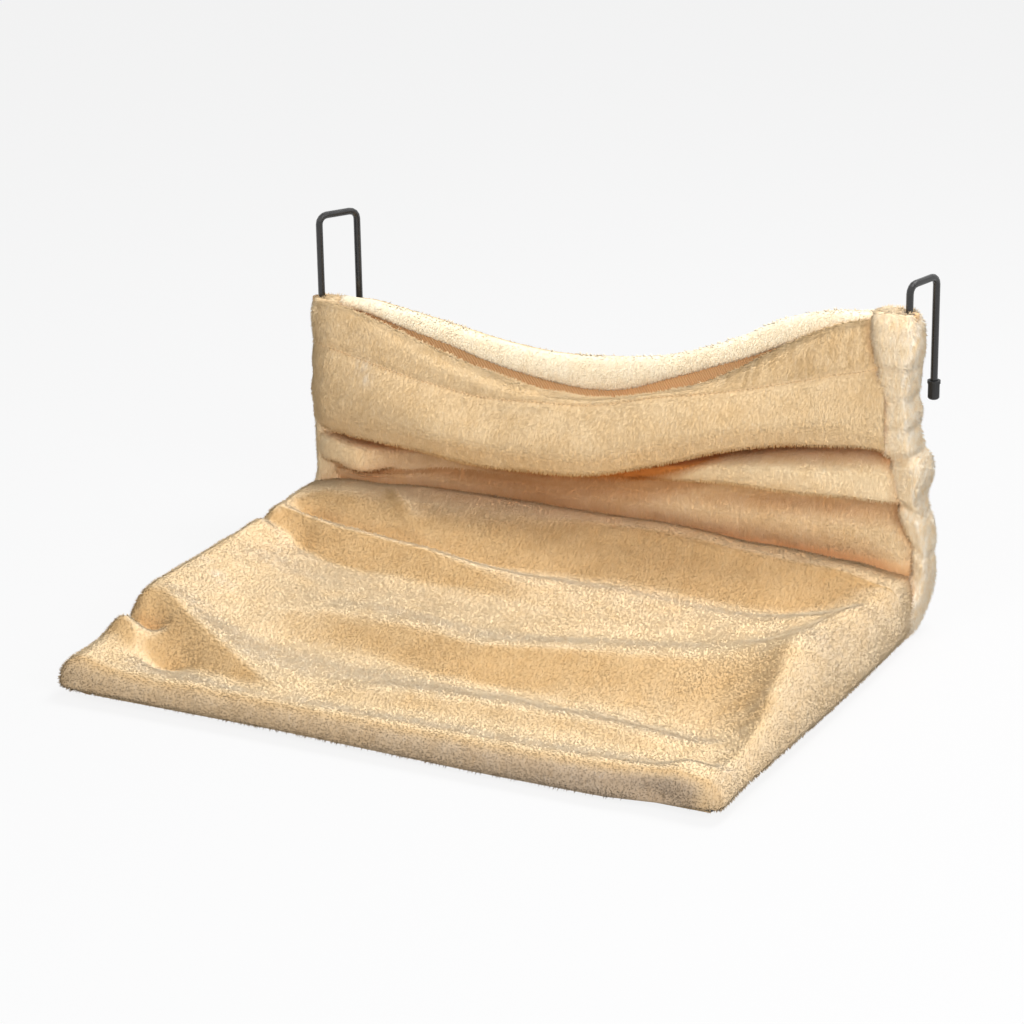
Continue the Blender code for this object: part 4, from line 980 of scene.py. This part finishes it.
def pileNodes():
    tree, named = newTree("pile tufts", (
        ("Density", "Float"), ("Size", "Vector"), ("Lean", "Vector"), ("Wander", "Float"), ("Shape", "Object"),
        ("Finish", "Material"), ("Seed", "Int")))
    source, result = addNode(tree, "NodeGroupInput"), addNode(tree, "NodeGroupOutput")
    cover = addNode(tree, "GeometryNodeInputNamedAttribute", {"Name": "pileCover"})
    density = addNode(tree, "ShaderNodeMath", operation="MULTIPLY")
    scatter = addNode(tree, "GeometryNodeDistributePointsOnFaces")
    keepWay = addNode(tree, "GeometryNodeStoreNamedAttribute", {"Name": "clothWay"}, data_type="FLOAT_VECTOR")
    tone = addNode(tree, "FunctionNodeRandomValue", {"Min": -1, "Seed": 3})
    keepTone = addNode(tree, "GeometryNodeStoreNamedAttribute", {"Name": "tuftTone"})
    drift = addNode(tree, "ShaderNodeTexNoise", {"Scale": 45})
    centred = addNode(tree, "ShaderNodeVectorMath", {1: (0.5, 0.5, 0.5)}, operation="SUBTRACT")
    drifted = addNode(tree, "ShaderNodeVectorMath", operation="SCALE")
    jitter = addNode(tree, "FunctionNodeRandomValue", {"Min": (-0.3, -0.3, -0.3), "Max": (0.3, 0.3, 0.3), "Seed": 4},
                     data_type="FLOAT_VECTOR")
    sums = [addNode(tree, "ShaderNodeVectorMath") for _ in range(3)]
    upright = addNode(tree, "FunctionNodeAlignRotationToVector")
    spin = addNode(tree, "FunctionNodeRandomValue", {"Max": 2 * math.pi, "Seed": 5})
    spinTurn = addNode(tree, "FunctionNodeAxisAngleToRotation")
    turned = addNode(tree, "FunctionNodeRotateRotation", rotation_space="LOCAL")
    grow = addNode(tree, "FunctionNodeRandomValue", {"Min": 0.65, "Max": 1.3, "Seed": 6})
    size = addNode(tree, "ShaderNodeVectorMath", operation="SCALE")
    extra = addNode(tree, "GeometryNodeInputNamedAttribute", {"Name": "pileLong"})
    longer = addNode(tree, "ShaderNodeMath", {1: 1})
    grown = addNode(tree, "ShaderNodeMath", operation="MULTIPLY")
    shape = addNode(tree, "GeometryNodeObjectInfo")
    joinUp(tree, (
        (source.outputs["Density"], density.inputs[0]),
        (socketNamed(cover.outputs, "Attribute"), density.inputs[1]),
        (source.outputs["Geometry"], scatter.inputs["Mesh"]),
        (density.outputs[0], scatter.inputs["Density"]),
        (source.outputs["Seed"], scatter.inputs["Seed"]),
        (scatter.outputs["Points"], keepWay.inputs["Geometry"]),
        (scatter.outputs["Normal"], socketNamed(keepWay.inputs, "Value")),
        (keepWay.outputs["Geometry"], keepTone.inputs["Geometry"]),
        (socketNamed(tone.outputs, "Value"), socketNamed(keepTone.inputs, "Value")),
        (addNode(tree, "GeometryNodeInputPosition").outputs[0], drift.inputs["Vector"]),
        (drift.outputs["Color"], centred.inputs[0]),
        (centred.outputs[0], drifted.inputs[0]),
        (source.outputs["Wander"], drifted.inputs["Scale"]),
        (scatter.outputs["Normal"], sums[0].inputs[0]),
        (source.outputs["Lean"], sums[0].inputs[1]),
        (sums[0].outputs[0], sums[1].inputs[0]),
        (drifted.outputs[0], sums[1].inputs[1]),
        (sums[1].outputs[0], sums[2].inputs[0]),
        (socketNamed(jitter.outputs, "Value"), sums[2].inputs[1]),
        (sums[2].outputs[0], upright.inputs["Vector"]),
        (socketNamed(spin.outputs, "Value"), spinTurn.inputs["Angle"]),
        (upright.outputs[0], turned.inputs["Rotation"]),
        (spinTurn.outputs[0], turned.inputs["Rotate By"]),
        (source.outputs["Size"], size.inputs[0]),
        (socketNamed(extra.outputs, "Attribute"), longer.inputs[0]),
        (longer.outputs[0], grown.inputs[0]),
        (socketNamed(grow.outputs, "Value"), grown.inputs[1]),
        (grown.outputs[0], size.inputs["Scale"]),
        (source.outputs["Shape"], shape.inputs["Object"]),
    ))
    plantNodes(tree, result, keepTone.outputs["Geometry"], shape.outputs["Geometry"], turned.outputs[0],
               size.outputs[0], source.outputs["Finish"])
    return tree, named


pileTree, pileSockets = pileNodes()
plainTuft = tuftShape("plainTuft", ((0, -0.12), (0.3, 1)), (1,))
curlTuft = tuftShape("curlTuft", ((0, -0.1), (0.12, 0.4), (0.45, 0.75), (0.95, 0.85)), (1, 0.95, 0.7))
piles = {
    "seatPile": {"on": seatTop, "layers": 3, "count": 47000, "size": (0.42, 0.42, 2.3), "lean": (0.1, -1.0, 0.0),
                 "wander": 1.3},
    "backPile": {"on": backFront, "layers": 2, "count": 46000, "size": (0.42, 0.42, 2.3), "lean": (0, -0.1, -0.9),
                 "wander": 1.2},
    "leftSleevePile": {"on": sleevePieces["left"], "layers": 1, "count": 16000, "size": (0.42, 0.42, 2.3),
                       "lean": (0, 0, -0.8), "wander": 1.2},
    "rightSleevePile": {"on": sleevePieces["right"], "layers": 1, "count": 30000, "size": (0.42, 0.42, 2.5),
                        "lean": (0, -0.1, -0.7), "wander": 1.5},
    "rearPile": {"on": rearSheet, "layers": 1, "count": 40000, "size": (0.5, 0.5, 2.3), "lean": (0, 0, -0.9),
                 "wander": 1.2},
    "bandPile": {"on": hemBand, "layers": 1, "count": 10500, "size": (0.55, 0.55, 2.6), "lean": (0, -0.5, -0.7),
                 "wander": 2.6, "shape": curlTuft, "finish": hemTufts},
}


def madeByNodes(name, data, tree, sockets, values):
    holder = newObject(name + "Maker", data)
    maker = holder.modifiers.new("maker", "NODES")
    maker.node_group = tree
    for socket, value in values.items():
        maker[sockets[socket]] = value
    made = bpy.data.meshes.new_from_object(holder.evaluated_get(bpy.context.evaluated_depsgraph_get()))
    bpy.data.objects.remove(holder)
    made.name = name
    return newObject(name, made)


def growPile(name, look, seed):
    mesh = look["on"].data
    cover = np.zeros(len(mesh.vertices))
    mesh.attributes["pileCover"].data.foreach_get("value", cover)
    area = sum(face.area * cover[list(face.vertices)].mean() for face in mesh.polygons)
    grown = madeByNodes(name, mesh, pileTree, pileSockets, {
        "Density": look["count"] / area, "Size": tuple(v * mm for v in look["size"]), "Lean": look["lean"],
        "Wander": look["wander"], "Shape": look.get("shape", plainTuft), "Finish": look.get("finish", plushTufts),
        "Seed": seed})
    grown.visible_shadow = False  # thin fibres let the light through to each other
    grown.visible_diffuse = look["on"] == hemBand
    return grown


pilePieces = {name: [growPile(f"{name}{k + 1}", look, k + 7) for k in range(look["layers"])]
              for name, look in piles.items()}
print("pile grown", sum(len(p.data.polygons) for group in pilePieces.values() for p in group))


# stitches along the hem, one small bead of thread for each
def stitchNodes():
    tree, named = newTree("stitch row", (("Pitch", "Float"), ("Size", "Vector"), ("Finish", "Material")))
    source, result = addNode(tree, "NodeGroupInput"), addNode(tree, "NodeGroupOutput")
    spaced = addNode(tree, "GeometryNodeResampleCurve", mode="LENGTH")
    tangent = addNode(tree, "GeometryNodeInputTangent")
    along = addNode(tree, "FunctionNodeAlignRotationToVector", axis="X")
    bead = addNode(tree, "GeometryNodeMeshIcoSphere", {"Radius": 0.5})
    joinUp(tree, (
        (source.outputs["Geometry"], spaced.inputs["Curve"]),
        (source.outputs["Pitch"], spaced.inputs["Length"]),
        (tangent.outputs[0], along.inputs["Vector"]),
    ))
    plantNodes(tree, result, spaced.outputs["Curve"], bead.outputs["Mesh"], along.outputs[0],
               source.outputs["Size"], source.outputs["Finish"])
    return tree, named


stitchTree, stitchSockets = stitchNodes()
stitch = {"pitch": 3.4, "size": (2.7, 0.8, 0.8), "lift": 0.8}


def sewRow(name, points):
    curve = bpy.data.curves.new(name, "CURVE")
    curve.dimensions = "3D"
    line = curve.splines.new("POLY")
    line.points.add(len(points) - 1)
    for point, place in zip(line.points, points):
        point.co = (*(place * mm), 1)
    return madeByNodes(name, curve, stitchTree, stitchSockets, {
        "Pitch": stitch["pitch"] * mm, "Size": tuple(v * mm for v in stitch["size"]), "Finish": thread})


hemLine = int(np.argmin(np.abs(backRows - back["stitchRow"])))
hemPath = backGrid + clothShapes["backFront"]["normal"] * stitch["lift"]
hemStitches = sewRow("hemStitches", hemPath[hemLine, back["wrapTurns"] // 2:])
print("stitches sewn", len(hemStitches.data.polygons))

# what each piece stands for
for piece, nodes in (
        (seatTop, ("cover_seat_panel", "cover_left_seat_channel", "cover_right_seat_channel", "cover_front_edge")),
        (backFront, ("cover_back_panel",)),
        (sleevePieces["left"], ("cover_left_back_channel",)),
        (sleevePieces["right"], ("cover_right_back_channel",)),
        (rearSheet, ("cover_rear_panel", "cover_under_panel")),
        (hemBand, ("cover_rear_hem",))):
    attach(piece, "bed")
    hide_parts(*nodes)
for name, group in pilePieces.items():
    for piece in group:
        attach(piece, "bed")
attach(hemStitches, "bed")

# camera, light and floor
camera = {"azimuth": 26.448, "elevation": 20.195, "roll": 1.066, "distance": 2.2066,
          "target": (0, -0.014519, 0.120), "lens": 119.53, "shift": (0.0158, -0.0201)}


def placeCamera():
    a, e, r = (math.radians(camera[key]) for key in ("azimuth", "elevation", "roll"))
    backWay = Vector((math.sin(a) * math.cos(e), -math.cos(a) * math.cos(e), math.sin(e)))
    right = Vector((math.cos(a), math.sin(a), 0))
    up = backWay.cross(right)
    acrossWay = right * math.cos(r) - up * math.sin(r)
    upWay = right * math.sin(r) + up * math.cos(r)
    data = bpy.data.cameras.new("camera")
    data.lens = camera["lens"]
    data.sensor_width = 36
    data.shift_x, data.shift_y = camera["shift"]
    data.clip_start, data.clip_end = 0.05, 50
    obj = newObject("camera", data)
    obj.matrix_world = Matrix.Translation(Vector(camera["target"]) + backWay * camera["distance"]) @ Matrix(
        (acrossWay, upWay, backWay)).transposed().to_4x4()
    bpy.context.scene.camera = obj


lights = (
    {"name": "top", "place": (0.35, 0.42, 1.35), "aim": (0, 0, 0.08), "size": 0.6, "power": 15.5},
    {"name": "right", "place": (1.2, -0.8, 0.8), "aim": (0.05, 0, 0.08), "size": 0.7, "power": 12.5},
    {"name": "front", "place": (-0.4, -1.3, 1.0), "aim": (0, 0, 0.1), "size": 1.0, "power": 9.5},
)
ambient = 0.33


def addLights():
    for light in lights:
        data = bpy.data.lights.new(light["name"], "AREA")
        data.energy = light["power"]
        data.size = light["size"]
        obj = newObject(light["name"] + "Light", data)
        obj.location = light["place"]
        obj.rotation_euler = (Vector(light["aim"]) - obj.location).to_track_quat("-Z", "Y").to_euler()


def whiteRays(nodes, links):
    path = nodes.new("ShaderNodeLightPath")
    seen = path.outputs["Is Camera Ray"]
    for other in ("Is Glossy Ray", "Is Transmission Ray"):
        seen = mathNode(nodes, links, "MAXIMUM", seen, path.outputs[other])
    return seen


def setWorld():
    world = bpy.data.worlds.new("studio")
    world.use_nodes = True
    bpy.context.scene.world = world
    nodes, links = world.node_tree.nodes, world.node_tree.links
    shader = nodes["Background"]
    shader.inputs["Color"].default_value = (1, 1, 1, 1)
    links.new(rangeNode(nodes, links, whiteRays(nodes, links), 0, 1, ambient, 1.0), shader.inputs["Strength"])


floorLook = {"reach": 6.0, "below": 0.0005, "paper": (0.6, 0.6, 0.61, 1), "glow": 0.85}


def addFloor():
    mesh = bpy.data.meshes.new("floor")
    reach = floorLook["reach"]
    corners = [(x * reach, y * reach, 0) for x, y in ((-1, -1), (1, -1), (1, 1), (-1, 1))]
    mesh.from_pydata(corners, [], [(0, 1, 2, 3)])
    made = bpy.data.materials.new("floorPaper")
    made.use_nodes = True
    nodes, links = made.node_tree.nodes, made.node_tree.links
    nodes.clear()
    paper = nodes.new("ShaderNodeBsdfDiffuse")
    paper.inputs["Color"].default_value = floorLook["paper"]
    glow = nodes.new("ShaderNodeEmission")
    mix = nodes.new("ShaderNodeMixShader")
    share = rangeNode(nodes, links, whiteRays(nodes, links), 0, 1, 0.0, floorLook["glow"])
    links.new(share, mix.inputs["Fac"])
    links.new(paper.outputs[0], mix.inputs[1])
    links.new(glow.outputs[0], mix.inputs[2])
    links.new(mix.outputs[0], nodes.new("ShaderNodeOutputMaterial").inputs["Surface"])
    mesh.materials.append(made)
    obj = newObject("floor", mesh)
    obj.location.z = -floorLook["below"]


placeCamera()
addLights()
setWorld()
addFloor()
bpy.context.scene.view_settings.view_transform = "Standard"
print("camera, lights and floor made")
